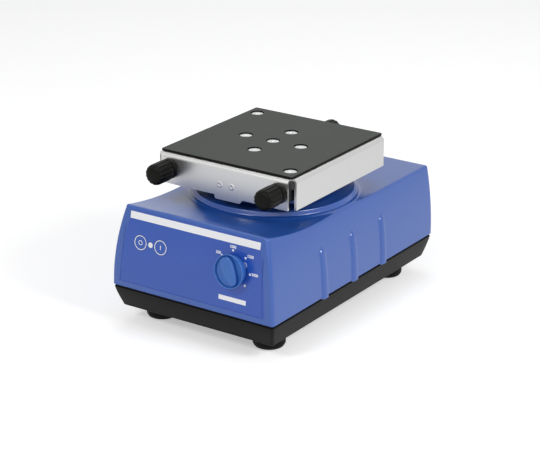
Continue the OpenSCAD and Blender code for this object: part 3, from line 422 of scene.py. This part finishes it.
# %% [markdown]
# ## The housing
# The real housing is one thin moulding: flanks that flare outwards towards the tray, a top that
# sweeps up to a brow at the front, a round collar, and three ribs on each flank that fade out
# upwards and lean back a little towards the foot. A subdivided cage would be soft everywhere
# and hard to keep on size. So it is made as one closed ring of extrusions: an outline is
# pulled up the wall, over a small fillet, across the top to the collar and down through its
# opening, and back along the inside. Every ring is placed by the same wall law.

# %% Wall law of the housing
seam_z, top_z, brow_z = 33.0, 94.5, 102.0
half_w, half_d, wall = 78.5, 123.5, 3.0
front_draw, back_draw, face_draw = 10.2, 7.8, 7.4
sweep_len, brow_rise = 66.0, 7.5
sweep_r = (sweep_len ** 2 + brow_rise ** 2) / (2 * brow_rise)
sweep_y = face_draw - half_d + sweep_len
drive_y = -5.5

def rise(z):
    return max(0.0, (z - seam_z) / (brow_z - seam_z))

def half_front(z):
    return half_w - front_draw * rise(z) ** 2

def half_back(z):
    return half_w - back_draw * rise(z) ** 2.2

def face_y(z):
    return face_draw * rise(z) ** 2 - half_d

print("half width at the brow", round(half_front(brow_z), 2))

# %% [markdown]
# ## Ribs and collar as heights
# The ribs and the stepped collar grow out of the same glossy skin. They could be pieces of
# their own, joined on later, but every joint would show as a crease in the reflections. So
# each is a height added to the wall or to the top: a function says how far the skin stands
# out at any point, and a soft step rounds the place where a rib or the collar begins.

# %% How far the ribs stand out
rib_spots = (-49.6, -4.6, 40.4)
rib_r, rib_proud, rib_bend_z = 5.5, 2.0, 70.1
rib_lean, rib_back_steeper, rib_front_wider, rib_foot_flatter = 2.4, 0.3, 0.6, 0.25
rib_fade = -0.35

def soft_step(gap, softness):
    return (gap + math.sqrt(gap * gap + softness)) / 2

def rib_out(y, z):
    size = rib_r ** 2 - max(0.0, z - rib_bend_z) ** 2
    low = min(1.0, max(0.0, (rib_bend_z - z) / (rib_bend_z - seam_z)))
    for spot in rib_spots:
        along = y - spot - rib_lean * low
        along *= 1 + rib_back_steeper * low if along > 0 else 1 / (1 + rib_front_wider * low)
        left = size - along ** 2
        if left > 0:
            gap = rib_proud - rib_r + math.sqrt(left)
            if gap > rib_fade:
                return (1 - rib_foot_flatter * low) * soft_step(gap, 0.03)
    return 0.0

print("rib foot stands out", round(rib_out(rib_spots[0] + rib_lean, seam_z), 2))

# %% Outline of the housing at any height
corner_r = 2.5
side_end, side_fixed = 121, 60
rib_reach, rib_mark = 8.6, 0.42

def side_marks():
    marks = [-side_end + i * 2 * side_end / 80 for i in range(81)]
    for spot in rib_spots:
        marks = [y for y in marks if abs(y - spot) > rib_reach]
        marks += [spot + k * rib_mark for k in range(-19, 20)]
    return sorted(marks)

marks_side = side_marks()
steps_end = [i / 48 for i in range(49)]
steps_arc = [i / 7 for i in range(1, 7)]

def corner_arc(cx, cy, r, start):
    turns = [math.radians(start + 90 * t) for t in steps_arc]
    return [(cx + r * math.cos(a), cy + r * math.sin(a)) for a in turns]

def with_corners(side, corners, r, runs):
    ring = list(side)
    for (cx, cy), start, run in zip(corners, (0, 90, 180, 270), runs):
        ring += corner_arc(cx, cy, r, start) + run
    return ring

def outline(z, inset=0.0):
    front, back = half_front(z) - inset, half_back(z) - inset
    y0, y1 = face_y(z) + inset, half_d - inset
    r = max(0.6, corner_r - inset)
    side = []
    for y in marks_side:
        if y < -side_fixed:
            y = -side_fixed + (y + side_fixed) * (y0 + r + side_fixed) / (side_fixed - side_end)
        elif y > side_fixed:
            y = side_fixed + (y - side_fixed) * (y1 - r - side_fixed) / (side_end - side_fixed)
        side.append((front + (back - front) * (y - y0 - r) / (y1 - y0 - 2 * r), y))
    corners = [(back - r, y1 - r), (r - back, y1 - r), (r - front, y0 + r), (front - r, y0 + r)]
    runs = [[(back - r - 2 * (back - r) * t, y1) for t in steps_end],
            [(-x, y) for x, y in reversed(side)],
            [(r - front + 2 * (front - r) * t, y0) for t in steps_end], []]
    return with_corners(side, corners, r, runs)

print("points round the housing", len(outline(seam_z)))

# %% Height of the top, with the collar
collar_curve = [(0, 100.5), (66.0, 100.5), (66.4, 100.4), (66.75, 100.1), (66.95, 99.6), (67.1, 98.9),
                (67.5, 97.2), (67.7, 96.7), (68.1, 96.42), (68.8, 96.32), (69.6, 96.25), (70.1, 96.12),
                (70.5, 95.85), (70.8, 95.55), (71.3, 95.25), (72.2, 94.98), (73.6, 94.78), (75.4, 94.62),
                (77.5, 94.4), (80.0, 92.0), (400, 0)]

def collar_height(r):
    for (r0, z0), (r1, z1) in zip(collar_curve, collar_curve[1:]):
        if r <= r1:
            return z0 + (z1 - z0) * (r - r0) / (r1 - r0)
    return 0.0

def soft_collar(r):
    return sum(collar_height(abs(r + d)) for d in (-0.12, 0, 0.12)) / 3

def sweep_height(y):
    if y >= sweep_y:
        return top_z
    return top_z + sweep_r - math.sqrt(sweep_r ** 2 - (y - sweep_y) ** 2)

def top_height(x, y):
    base = sweep_height(y)
    ring = soft_collar(math.hypot(x, y - drive_y))
    gap = ring - base
    return base if gap < -3 else base + soft_step(gap, 0.02)

print("collar lip above the top", round(top_height(66.0, drive_y) - top_z, 2))

# %% [markdown]
# ## The rings of the housing
# Now the outline is placed at one height after another. Each point climbs to its own part of
# the swept top, so the rings lie close together where the ribs bend in and at the fillet, and
# the mesh stays light elsewhere. A modifier could round the upper edge too, but the fillet's
# rings keep their width all the way round, also where the top rises to the brow.

# %% Rings up the wall of the housing
fillet, bead, wall_top, wall_turn = 2.2, 0.45, 92.3, 12
rib_lap, rib_lap_full = 1.3, 0.8
heights = [37, 42, 47, 52, 57, 62, 66, 69] + [70 + 0.45 * k for k in range(11)]
heights += [76, 79, 83, 87, 90, wall_top]
crests = [top_height(x, y) for x, y in outline(top_z)]
at_height = {}

def point_on(i, z, inset=0.0):
    key = (round(z, 2), inset)
    if key not in at_height:
        at_height[key] = outline(z, inset)
    return at_height[key][i]

def inner_ring(z):
    return [(*point_on(i, z, wall), z) for i in range(len(crests))]

def foot_ring(inset, lift):
    ring = []
    for i in range(len(crests)):
        out = rib_out(point_on(i, seam_z)[1], seam_z)
        x, y = point_on(i, seam_z, inset)
        low = seam_z - rib_lap * min(1.0, out / rib_lap_full)
        ring.append((x + math.copysign(out, x), y, low + lift))
    return ring

def wall_ring(height):
    ring = []
    for i, crest in enumerate(crests):
        for _ in range(2):
            crest = top_height(*point_on(i, crest - fillet))
        share = (height - seam_z - bead) / (wall_top - seam_z - bead)
        z = seam_z + bead + (crest - fillet - seam_z - bead) * share
        x, y = point_on(i, z)
        ring.append((x + math.copysign(rib_out(y, z), x), y, z))
    return ring

def fillet_ring(step):
    turn = math.radians(wall_turn + (90 - wall_turn) * step / 5)
    inset = fillet * (math.cos(math.radians(wall_turn)) - math.cos(turn))
    ring = []
    for i, crest in enumerate(crests):
        x, y = point_on(i, crest - fillet, round(inset, 3))
        ring.append((x, y, top_height(x, y) - fillet + fillet * math.sin(turn)))
    return ring

rings = [inner_ring(seam_z), foot_ring(bead, 0.0), foot_ring(0.0, bead)]
rings += [wall_ring(height) for height in heights]
rings += [fillet_ring(step) for step in range(1, 6)]
print("rings up the wall", len(rings))

# %% Rings over the top, through the collar and down the inside
collar_radii = [78, 76, 75, 74, 73.2, 72.5, 71.9, 71.4, 71, 70.7, 70.4, 70.1, 69.7, 69.2, 68.6, 68.2,
                67.9, 67.7, 67.5, 67.25, 67.05, 66.9, 66.75, 66.55, 66.3, 66, 65.5, 64, 60, 55, 50]
outer_steps, least_step = 16, 0.05
lip_z, shelf_z, top_wall = 96.7, 93.5, 3.4

def drive_span(x, y):
    return math.hypot(x, y - drive_y)

def towards_drive(x, y, reach, least):
    span = drive_span(x, y)
    reach = min(reach, span - least)
    return x * reach / span, (y - drive_y) * reach / span + drive_y

def top_reach(span, step):
    if step > outer_steps:
        return collar_radii[step - outer_steps - 1]
    return span + (collar_radii[0] - span) * step / outer_steps

rim = rings[-1]
for step in range(1, outer_steps + len(collar_radii) + 1):
    ring = []
    for x, y, _ in rim:
        x, y = towards_drive(x, y, top_reach(drive_span(x, y), step), least_step * step)
        ring.append((x, y, top_height(x, y)))
    rings.append(ring)
rings.append([(x, y, lip_z) for x, y, _ in rings[-1]])
for reach, z in ((62.0, lip_z), (68.0, shelf_z)):
    rings.append([(*towards_drive(x, y, reach, 4), z) for x, y, _ in rim])
for inset in (8.0, 4.2):
    flat = [point_on(i, 91.0, inset) for i in range(len(crests))]
    rings.append([(x, y, sweep_height(y) - top_wall) for x, y in flat])
rings += [inner_ring(z) for z in (86.0, 70.0, 50.0, seam_z)]
print("rings of the housing", len(rings))

# %% [markdown]
# ## The openings of the housing
# Two keys, a light and the dial's shaft come through the leaning face, and the mains inlet
# comes through the back. The holes could be worked into the rings by hand, but an exact
# boolean with plain closed cutters is shorter and leaves the smooth skin around them alone.

# %% Helpers that cut a piece
def add_block(bm, spot, size):
    place = Matrix.Translation(spot) @ Matrix.Diagonal((*size, 1))
    bmesh.ops.create_cube(bm, size=1, matrix=place)

def add_pin(bm, place, radius, depth, segments):
    bmesh.ops.create_cone(bm, cap_ends=True, segments=segments, radius1=radius, radius2=radius,
                          depth=depth, matrix=place)

def cut(piece, tools, flat_angle=40):
    cutter = to_object(tools, "cutter", flat_angle)
    tool = piece.modifiers.new("cut", "BOOLEAN")
    tool.operation = "DIFFERENCE"
    tool.solver = "EXACT"
    tool.object = cutter
    depsgraph = bpy.context.evaluated_depsgraph_get()
    fresh = bpy.data.meshes.new_from_object(piece.evaluated_get(depsgraph))
    piece.modifiers.clear()
    piece.data = fresh
    bpy.data.objects.remove(cutter)
    bm = bmesh.new()
    bm.from_mesh(fresh)
    crease(bm, flat_angle)
    bm.to_mesh(fresh)
    bm.free()

print("cutting helpers ready")

# %% Pull the housing and cut its openings
panel_lean = math.radians(6.861)
key_spots = ((-50.7, 74.0), (-30.8, 74.0))
led_spot = (-40.75, 74.0)
dial_spot = (40.4, 71.75)
key_hole_r, led_hole_r, shaft_hole_r = 6.4, 2.25, 3.6
inlet_spot, inlet_size = (36, half_d, 62), (27.4, 12, 40.4)

def panel_place(x, z, height=0.0):
    turn = Matrix.Rotation(math.radians(90) - panel_lean, 4, "X")
    return Matrix.Translation((x, face_y(z), z)) @ turn @ Matrix.Translation((0, 0, height))

def panel_cutters():
    tools = bmesh.new()
    holes = [(spot, key_hole_r) for spot in key_spots]
    for (x, z), r in holes + [(led_spot, led_hole_r), (dial_spot, shaft_hole_r)]:
        add_pin(tools, panel_place(x, z), r, 8, 64)
    return tools

bm = bmesh.new()
pull_rings(bm, rings)
housing_shell = make_piece(bm, "housing_shell", "base", "housing_blue", flat_angle=40)
tools = panel_cutters()
add_block(tools, inlet_spot, inlet_size)
cut(housing_shell, tools)
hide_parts("upper_housing", "collar_ring")
print("housing faces", len(housing_shell.data.polygons))

# %% [markdown]
# ## The control foil
# A thin printed foil covers the front face. It follows the gentle curve of the face, so a flat
# grid is thickened, bent onto the wall law and pierced for the keys, the light and the dial. A
# shrinkwrap onto the housing would do as well, but it would also follow the housing's holes.

# %% Bend a flat sheet onto the front face
def lean(z):
    return math.atan(2 * face_draw * rise(z) / (brow_z - seam_z))

def bend_to_face(bm, lift):
    for vert in bm.verts:
        x, height, z = vert.co.x, vert.co.y, vert.co.z
        slope = lean(z)
        out = lift + height
        vert.co = (x, face_y(z) - out * math.cos(slope), z + out * math.sin(slope))

def thicken(bm, thickness):
    bm.normal_update()
    bmesh.ops.solidify(bm, geom=list(bm.faces), thickness=thickness)
    lowest = min(v.co.y for v in bm.verts)
    for vert in bm.verts:
        vert.co.y -= lowest

foil_low, foil_high, foil_margin = 37.8, 99.0, 8.2
foil_thickness, foil_sunk = 0.25, 0.13

def foil_grid():
    bm = bmesh.new()
    bmesh.ops.create_grid(bm, x_segments=24, y_segments=16, size=1)
    corners = [v for v in bm.verts if abs(v.co.x) > 0.99 and abs(v.co.y) > 0.99]
    bmesh.ops.bevel(bm, geom=corners, offset=0.03, affect="VERTICES", segments=4, profile=0.5,
                    material=-1)
    for vert in bm.verts:
        z = foil_low + (foil_high - foil_low) * (vert.co.y + 1) / 2
        vert.co = (vert.co.x * (half_front(z) - foil_margin), 0, z)
    return bm

bm = foil_grid()
thicken(bm, foil_thickness)
bend_to_face(bm, -foil_sunk)
panel_foil = make_piece(bm, "panel_foil", "base", "foil_blue")
cut(panel_foil, panel_cutters())
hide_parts("front_foil")
print("foil faces", len(panel_foil.data.polygons))

# %% [markdown]
# ## The tray
# The dark tray under the seam draws in towards the bench on all sides, with a small radius at
# its lower edge. A bevelled box would be quicker, but its walls would be straight. So it is
# pulled from one outline too, down the curved wall and under the floor, and the first and the
# last ring are closed with one face each. Then the air slots and the screw holes are cut.

# %% Tray rings
tray_half_w, tray_half_d = 78.0, 123.0
tray_top, tray_bend, tray_floor = 31.5, 15.0, 18.0
tray_in_x, tray_in_y, tray_drawn = 4.2, 6.3, 0.93
tray_edge, tray_edge_drop = 1.6, 1.5
foot_x, foot_y, foot_screw_r = 52.9, 90.6, 2.1
slot_y, slot_pitch, slot_size = 61.5, 6, (50, 2.4, 9)
case_screw_x, case_screw_y, case_screw_z, case_screw_r = 66, 68, 13.4, 4.2

def tray_outline(inset_x, inset_y, r):
    hx, hy = tray_half_w - inset_x, tray_half_d - inset_y
    side = [(hx, -hy + r + 2 * (hy - r) * i / 24) for i in range(25)]
    back = [(hx - r - 2 * (hx - r) * i / 16, hy) for i in range(17)]
    corners = [(hx - r, hy - r), (r - hx, hy - r), (r - hx, r - hy), (hx - r, r - hy)]
    runs = [back, [(-x, -y) for x, y in side], [(-x, -y) for x, y in back], []]
    return with_corners(side, corners, r, runs)

def tray_rings():
    levels = [(5.6, 7.4, tray_floor, 1.5), (3.0, 3.0, tray_top, 1.5),
              (0.4, 0.4, tray_top, corner_r), (0.0, 0.0, 31.2, corner_r)]
    for k in range(1, 13):
        t = k / 12
        draw = tray_drawn * t ** 1.25
        z = tray_top - (tray_top - tray_bend) * t
        levels.append((tray_in_x * draw, tray_in_y * draw, z, corner_r))
    for k in range(1, 7):
        turn = math.radians(15 * k)
        inset = tray_edge * (1 - math.cos(turn))
        z = tray_bend - tray_edge_drop * math.sin(turn)
        levels.append((tray_in_x * tray_drawn + inset, tray_in_y * tray_drawn + inset, z, corner_r))
    return [[(x, y, z) for x, y in tray_outline(a, b, r)] for a, b, z, r in levels]

bm = bmesh.new()
pull_rings(bm, tray_rings())
bmesh.ops.holes_fill(bm, edges=[e for e in bm.edges if e.is_boundary], sides=0)
tray_shell = make_piece(bm, "tray_shell", "base", "tray_black", flat_angle=38)
tools = bmesh.new()
for k in range(-3, 4):
    add_block(tools, (0, slot_y + slot_pitch * k, tray_bend), slot_size)
for sx in (-1, 1):
    for sy in (-1, 1):
        pocket = Matrix.Translation((case_screw_x * sx, case_screw_y * sy, case_screw_z))
        add_pin(tools, pocket, case_screw_r, 6, 32)
        add_pin(tools, Matrix.Translation((foot_x * sx, foot_y * sy, 20)), foot_screw_r, 60, 32)
cut(tray_shell, tools)
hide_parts("base_tray")
print("tray faces", len(tray_shell.data.polygons))

# %% [markdown]
# ## Round pieces
# Feet and the dish of the speed knob are turned parts, so each is a profile spun about its axis.
# The spin closes on itself with use_merge. A cylinder with bevelled edges would be quicker,
# but a profile can hold grooves and a cup in one line of points.

# %% Spin helper
def spin_profile(bm, profile, segments=64):
    verts = [bm.verts.new((r, 0, z)) for r, z in profile]
    edges = [bm.edges.new(pair) for pair in zip(verts, verts[1:])]
    bmesh.ops.spin(bm, geom=verts + edges, axis=(0, 0, 1), cent=(0, 0, 0), angle=math.tau,
                   steps=segments, use_merge=True, use_duplicate=False)
    bmesh.ops.remove_doubles(bm, verts=bm.verts, dist=0.002)
    return bm

def rounded(profile, radius):
    steps = 4
    soft = [profile[0]]
    for before, here, after in zip(profile, profile[1:], profile[2:]):
        a, b, c = Vector(before), Vector(here), Vector(after)
        into, away = (a - b), (c - b)
        r = min(radius, into.length * 0.45, away.length * 0.45)
        start, end = b + into.normalized() * r, b + away.normalized() * r
        for k in range(steps + 1):
            t = k / steps
            soft.append(tuple(start * (1 - t) ** 2 + b * 2 * t * (1 - t) + end * t ** 2))
    soft.append(profile[-1])
    return soft

print("spin helper ready")

# %% Rubber feet
foot_profile = [(2.1, 13.45), (12.7, 13.45), (13.2, 13.0), (13.3, 11.4), (12.5, 10.6), (12.5, 9.2),
                (13.3, 8.4), (13.3, 3.2), (12.0, 0.9), (9.6, 0.0), (4.6, 0.0), (4.6, 4.0), (2.1, 4.0),
                (2.1, 13.45)]
for name, sx, sy in (("fl", -1, -1), ("fr", 1, -1), ("rl", -1, 1), ("rr", 1, 1)):
    bm = bmesh.new()
    spin_profile(bm, rounded(foot_profile, 0.7))
    bmesh.ops.translate(bm, vec=(foot_x * sx, foot_y * sy, 0), verts=bm.verts)
    foot = make_piece(bm, "rubber_foot_" + name, "base", "black_rubber", flat_angle=50)
    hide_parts("foot_" + name)
print("feet", 4)

# %% [markdown]
# ## Clamp knobs
# Each knob is a moulded grip with long flutes, a groove behind them and a domed end. Its
# outline is a circle with small hollows, so it is pulled from rings whose radius follows the
# flutes, and they fade out towards the dome. Cutting fourteen grooves from a turned knob would
# leave sharp ends where each groove runs out.

# %% Knob rings
flutes, points_per_flute, flute_depth = 14, 12, 0.75
pan_y, pan_half_depth, clamp_gap = -7.5, 70.8, 0.3
clamp_x, clamp_z = 52.5, 124.4

def knob_rings():
    count = flutes * points_per_flute
    levels = [(0.0, 7.6, 0), (0.15, 8.1, 0), (0.6, 8.4, 0), (3.4, 8.4, 0), (3.9, 8.1, 0), (4.1, 7.3, 0),
              (5.1, 7.3, 0), (5.35, 8.0, 0.2), (5.9, 8.6, 0.8), (6.8, 8.7, 1), (13.0, 8.7, 1),
              (19.0, 8.65, 1), (20.2, 8.5, 0.95), (21.2, 8.1, 0.75), (22.0, 7.3, 0.4),
              (22.6, 6.0, 0.12), (22.9, 4.2, 0), (23.0, 2.0, 0), (23.0, 0.02, 0)]
    rings = []
    for z, radius, depth in levels:
        ring = []
        for i in range(count):
            angle = math.tau * i / count
            hollow = max(0.0, math.cos(flutes * angle)) ** 1.5
            r = radius - depth * flute_depth * hollow
            ring.append((r * math.cos(angle), r * math.sin(angle), z))
        rings.append(ring)
    rings.insert(0, [(x * 0.4, y * 0.4, 0.0) for x, y, z in rings[0]])
    return rings

def turn_and_place(bm, place):
    bmesh.ops.transform(bm, matrix=place, verts=bm.verts)

for name, sx, sy in (("fl", -1, -1), ("fr", 1, -1), ("rear", 0, 1)):
    bm = bmesh.new()
    pull_rings(bm, knob_rings())
    bmesh.ops.holes_fill(bm, edges=[e for e in bm.edges if e.is_boundary], sides=0)
    seat = Matrix.Translation((clamp_x * sx, pan_y + sy * (pan_half_depth + clamp_gap), clamp_z))
    turn_and_place(bm, seat @ Matrix.Rotation(-sy * math.pi / 2, 4, "X"))
    knob = make_piece(bm, "clamp_grip_" + name, "clamp_" + name, "knob_black", flat_angle=48)
    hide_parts("clamp_knob_" + name)
print("clamp knobs", 3)

# %% [markdown]
# ## The speed knob
# The dial knob is a shallow dish that widens towards its front, with a pear-shaped grip across
# it. The dish is spun. The grip could be drawn as a curve and filled, but a disc whose points
# are pulled into a pear shape needs one short rule. It is raised, bevelled and set in the dish.

# %% Speed knob
dish_profile = [(3.1, 2.2), (3.1, 0.75), (11.8, 0.75), (12.3, 2.0), (13.4, 6.4), (13.8, 7.3),
                (13.7, 7.9), (13.1, 8.1), (12.6, 7.4), (12.1, 5.4), (9.0, 4.8), (0.02, 4.8)]
grip_half, grip_width, grip_taper = 12.3, 6.1, 1.2
grip_base, grip_height, grip_bevel, grip_turn = 4.4, 4.05, 2.2, 27.7
side_fullness, end_fullness = 0.72, 0.85

def pear_grip():
    bm = bmesh.new()
    bmesh.ops.create_circle(bm, cap_ends=True, segments=72, radius=1)
    for vert in bm.verts:
        across, along = vert.co.x, vert.co.y
        width = grip_width + grip_taper * along
        vert.co.x = width * math.copysign(abs(across) ** side_fullness, across)
        vert.co.y = grip_half * math.copysign(abs(along) ** end_fullness, along)
        vert.co.z = grip_base
    raised = bmesh.ops.extrude_face_region(bm, geom=bm.faces[:])["geom"]
    crown = [item for item in raised if isinstance(item, bmesh.types.BMVert)]
    bmesh.ops.translate(bm, vec=(0, 0, grip_height), verts=crown)
    bmesh.ops.recalc_face_normals(bm, faces=bm.faces)
    rim = [e for e in bm.edges if all(v in set(crown) for v in e.verts)]
    bmesh.ops.bevel(bm, geom=rim, offset=grip_bevel, affect="EDGES", segments=5, profile=0.5,
                    material=-1)
    for face in [f for f in bm.faces if f.calc_area() > 60]:
        bmesh.ops.inset_individual(bm, faces=[face], thickness=0.5)
    return bm

def take_in(bm, part):
    spare = bpy.data.meshes.new("spare")
    part.to_mesh(spare)
    part.free()
    bm.from_mesh(spare)
    bpy.data.meshes.remove(spare)

bm = spin_profile(bmesh.new(), rounded(dish_profile, 0.5), 96)
take_in(bm, pear_grip())
turn_and_place(bm, panel_place(*dial_spot) @ Matrix.Rotation(math.radians(grip_turn), 4, "Z"))
dial_knob = make_piece(bm, "dial_knob", "speed_dial", "dial_blue", flat_angle=40)
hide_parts("speed_knob")
print("dial knob faces", len(dial_knob.data.polygons))

# %% [markdown]
# ## The rubber mat
# The mat is a sheet with round holes over the platform's flush screws. Its edges are slightly
# rounded, which catches a thin line of light. Holes painted on a plane would look the same
# from straight above, but they would have no wall to hold a shadow. The top takes the mat's
# grey rubber, and every face that doesn't face up is painted black as shade.

# %% Mat
mat_z, mat_size, mat_hole_r = 137.6, (126.5, 135.4, 2), 5.8
mat_holes = [(0, 0), (27, 0), (-27, 0), (0, 27), (0, -27), (53.5, -55), (-53.5, 55)]

bm = bmesh.new()
add_block(bm, (0, pan_y, mat_z), mat_size)
upright = [e for e in bm.edges if abs(e.verts[0].co.z - e.verts[1].co.z) > 1]
bmesh.ops.bevel(bm, geom=upright, offset=1.2, affect="EDGES", segments=5, profile=0.5, material=-1)
level = [e for e in bm.edges if abs(e.verts[0].co.z - e.verts[1].co.z) < 0.1
         and len(e.link_faces) == 2 and e.calc_face_angle(0) > 0.7]
bmesh.ops.bevel(bm, geom=level, offset=0.3, affect="EDGES", segments=3, profile=0.5, material=-1)
broad = [f for f in bm.faces if abs(f.normal.z) > 0.99 and f.calc_area() > 1000]
bmesh.ops.inset_individual(bm, faces=broad, thickness=0.3)
rubber_mat = make_piece(bm, "rubber_mat", "table", "mat_rubber", flat_angle=50)
rubber_mat.data.materials.append(finishes["black_rubber"])
tools = bmesh.new()
for x, y in mat_holes:
    add_pin(tools, Matrix.Translation((x, y + pan_y, mat_z)), mat_hole_r, 8, 56)
cut(rubber_mat, tools, 50)
# Painted shade: every face that doesn't face up takes the black rubber, so the mat's sides look shaded.
for face in rubber_mat.data.polygons:
    face.material_index = 0 if face.normal.z > 0.8 else 1
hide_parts("mat")
print("mat faces", len(rubber_mat.data.polygons))

# %% [markdown]
# ## Flush screws and spot marks of the platform
# The screws that hold the platform sit almost level with the mat, so each head is a spun disc
# with a soft rim and a small socket. The front flange also shows two spot marks where the
# strengthening tab is joined: low rings pressed out of the sheet. A bump map could fake both,
# but their rims would then stay flat when a lamp grazes them.

# %% Screw heads
head_profile = [(0.02, 136.9), (1.35, 136.9), (1.35, 137.75), (4.9, 137.85), (5.45, 137.6),
                (5.5, 136.7), (0.02, 136.7)]
bm = bmesh.new()
for x, y in mat_holes:
    disc = spin_profile(bmesh.new(), rounded(head_profile, 0.25), 48)
    bmesh.ops.translate(disc, vec=(x, y + pan_y, 0), verts=disc.verts)
    take_in(bm, disc)
bmesh.ops.holes_fill(bm, edges=bm.edges, sides=0)
make_piece(bm, "screw_heads", "table", "screw_steel", flat_angle=35)
print("screw heads", len(mat_holes))

# %% Spot marks
mark_profile = [(0.02, 0.12), (1.0, 0.12), (1.5, 0.3), (2.1, 0.3), (2.7, 0.0), (2.7, -0.2)]
mark_spots, mark_z = (-3.7, 8.0), 120.3
bm = bmesh.new()
for x in mark_spots:
    mark = spin_profile(bmesh.new(), mark_profile, 40)
    flange = Matrix.Translation((x, pan_y - pan_half_depth, mark_z))
    turn_and_place(mark, flange @ Matrix.Rotation(math.pi / 2, 4, "X"))
    take_in(bm, mark)
bmesh.ops.holes_fill(bm, edges=bm.edges, sides=0)
make_piece(bm, "spot_marks", "table", "sheet_steel", flat_angle=60)
print("spot marks", len(mark_spots))

# %% [markdown]
# ## Prints on the foil and the keys
# Ink is a thin layer, so each print is a flat outline bent onto the face with a few hundredths
# of a millimetre of thickness. An image texture would need its own unwrapping and turns soft
# close by, while an outline stays sharp. The long stripe and the small plate stay bare, the
# dial gets plain numbers, and the keys get the usual circle and bar. A dark line round the foil
# is made the same way, but it is painted shade for the gap at the foil's edge, not ink.

# %% Print helpers
layer_lift, layer_thickness, key_face = 0.13, 0.05, 0.21

def bend_print_and_shade(bm, name, color="print_white"):
    thicken(bm, layer_thickness)
    bend_to_face(bm, layer_lift)
    make_piece(bm, name, "base", "foil_blue", color=color)

def flat_patch(bm, x0, x1, z0, z1, cells):
    made = bmesh.ops.create_grid(bm, x_segments=cells, y_segments=3, size=0.5)["verts"]
    for vert in made:
        vert.co = ((x0 + x1) / 2 + vert.co.x * (x1 - x0), 0, (z0 + z1) / 2 + vert.co.y * (z1 - z0))

def flat_disc(bm, x, z, radius):
    made = bmesh.ops.create_circle(bm, cap_ends=True, segments=24, radius=radius)["verts"]
    for vert in made:
        vert.co = (x + vert.co.x, 0, z + vert.co.y)

def flat_ring(bm, x, z, outer, width, segments=64):
    pair = [bm.verts.new((x + r, 0, z)) for r in (outer, outer - width)]
    bmesh.ops.spin(bm, geom=pair + [bm.edges.new(pair)], axis=(0, 1, 0), cent=(x, 0, z),
                   angle=math.tau, steps=segments, use_merge=True, use_duplicate=False)

print("print helpers ready")

# %% Stripe, plate and dots
dot_circle, dot_r = 15.2, 0.95
bm = bmesh.new()
flat_patch(bm, -62.5, 63.0, 92.1, 97.8, 24)
flat_patch(bm, 27.2, 53.0, 45.3, 49.1, 8)
for turn in (-53, -8, 41.5, 92, 133):
    a = math.radians(turn)
    x, z = dial_spot[0] + dot_circle * math.sin(a), dial_spot[1] + dot_circle * math.cos(a)
    flat_disc(bm, x, z, dot_r)
bend_print_and_shade(bm, "panel_print")
print("stripe, plate and dots")

# %% Painted shade line at the foil's edge, and the sign beside the dial
# The dark line round the foil is painted shade: it stands for the shadow in the narrow gap at the foil's
# edge.
line_left, line_right, line_top, line_width = 71.0, 68.4, 66.4, 0.4
line_low, line_rise = 38.3, 47.7
bm = bmesh.new()
for side, low_x in ((-1, line_left), (1, line_right)):
    made = bmesh.ops.create_grid(bm, x_segments=1, y_segments=24, size=0.5)["verts"]
    for vert in made:
        share = vert.co.y + 0.5
        out = low_x + (line_top - low_x) * share + line_width * vert.co.x
        vert.co = (side * out, 0, line_low + line_rise * share)
flat_patch(bm, -line_left, line_right, 38.1, 38.5, 24)
bend_print_and_shade(bm, "foil_edge_shade", color="edge_shade_blue")
sign_spot = (50.1, 77.4)
bm = bmesh.new()
flat_ring(bm, *sign_spot, 2.1, 0.32, 40)
flat_ring(bm, *sign_spot, 0.75, 0.35, 24)
bend_print_and_shade(bm, "dial_sign")
print("border and sign")

# %% Numbers of the dial
figure_size, figure_weight = 3.1, 0.09

def flat_text(words, x, z):
    curve = bpy.data.curves.new("figures", "FONT")
    curve.body = words
    curve.size = figure_size
    curve.offset = figure_weight
    curve.align_x, curve.align_y = "CENTER", "CENTER"
    holder = bpy.data.objects.new("figures", curve)
    bpy.context.scene.collection.objects.link(holder)
    depsgraph = bpy.context.evaluated_depsgraph_get()
    mesh = bpy.data.meshes.new_from_object(holder.evaluated_get(depsgraph))
    bpy.data.objects.remove(holder)
    bm = bmesh.new()
    bm.from_mesh(mesh)
    bmesh.ops.remove_doubles(bm, verts=bm.verts, dist=0.0005)
    for vert in bm.verts:
        vert.co = (x + vert.co.x, 0, z + vert.co.y)
    return bm

figures = [("500", 24.9, 82.4), ("1000", 37.9, 89.4), ("1500", 54.8, 85.0), ("2000", 60.1, 71.6)]
for words, x, z in figures:
    bend_print_and_shade(flat_text(words, x, z), "figure_" + words)
print("figures", len(figures))

# %% Rings and signs on the keys
for name, body, (x, z) in (("off", "off_button", key_spots[0]), ("on", "on_button", key_spots[1])):
    bm = bmesh.new()
    flat_ring(bm, 0, 0, 6.0, 0.62)
    if name == "off":
        flat_ring(bm, 0, 0, 2.0, 0.5, 32)
    else:
        flat_patch(bm, -0.32, 0.32, -1.8, 1.8, 2)
    thicken(bm, layer_thickness)
    for vert in bm.verts:
        vert.co.yz = vert.co.zy
    turn_and_place(bm, panel_place(x, z, key_face))
    make_piece(bm, name + "_key_sign", body, "foil_blue", color="print_white")
print("key signs", 2)
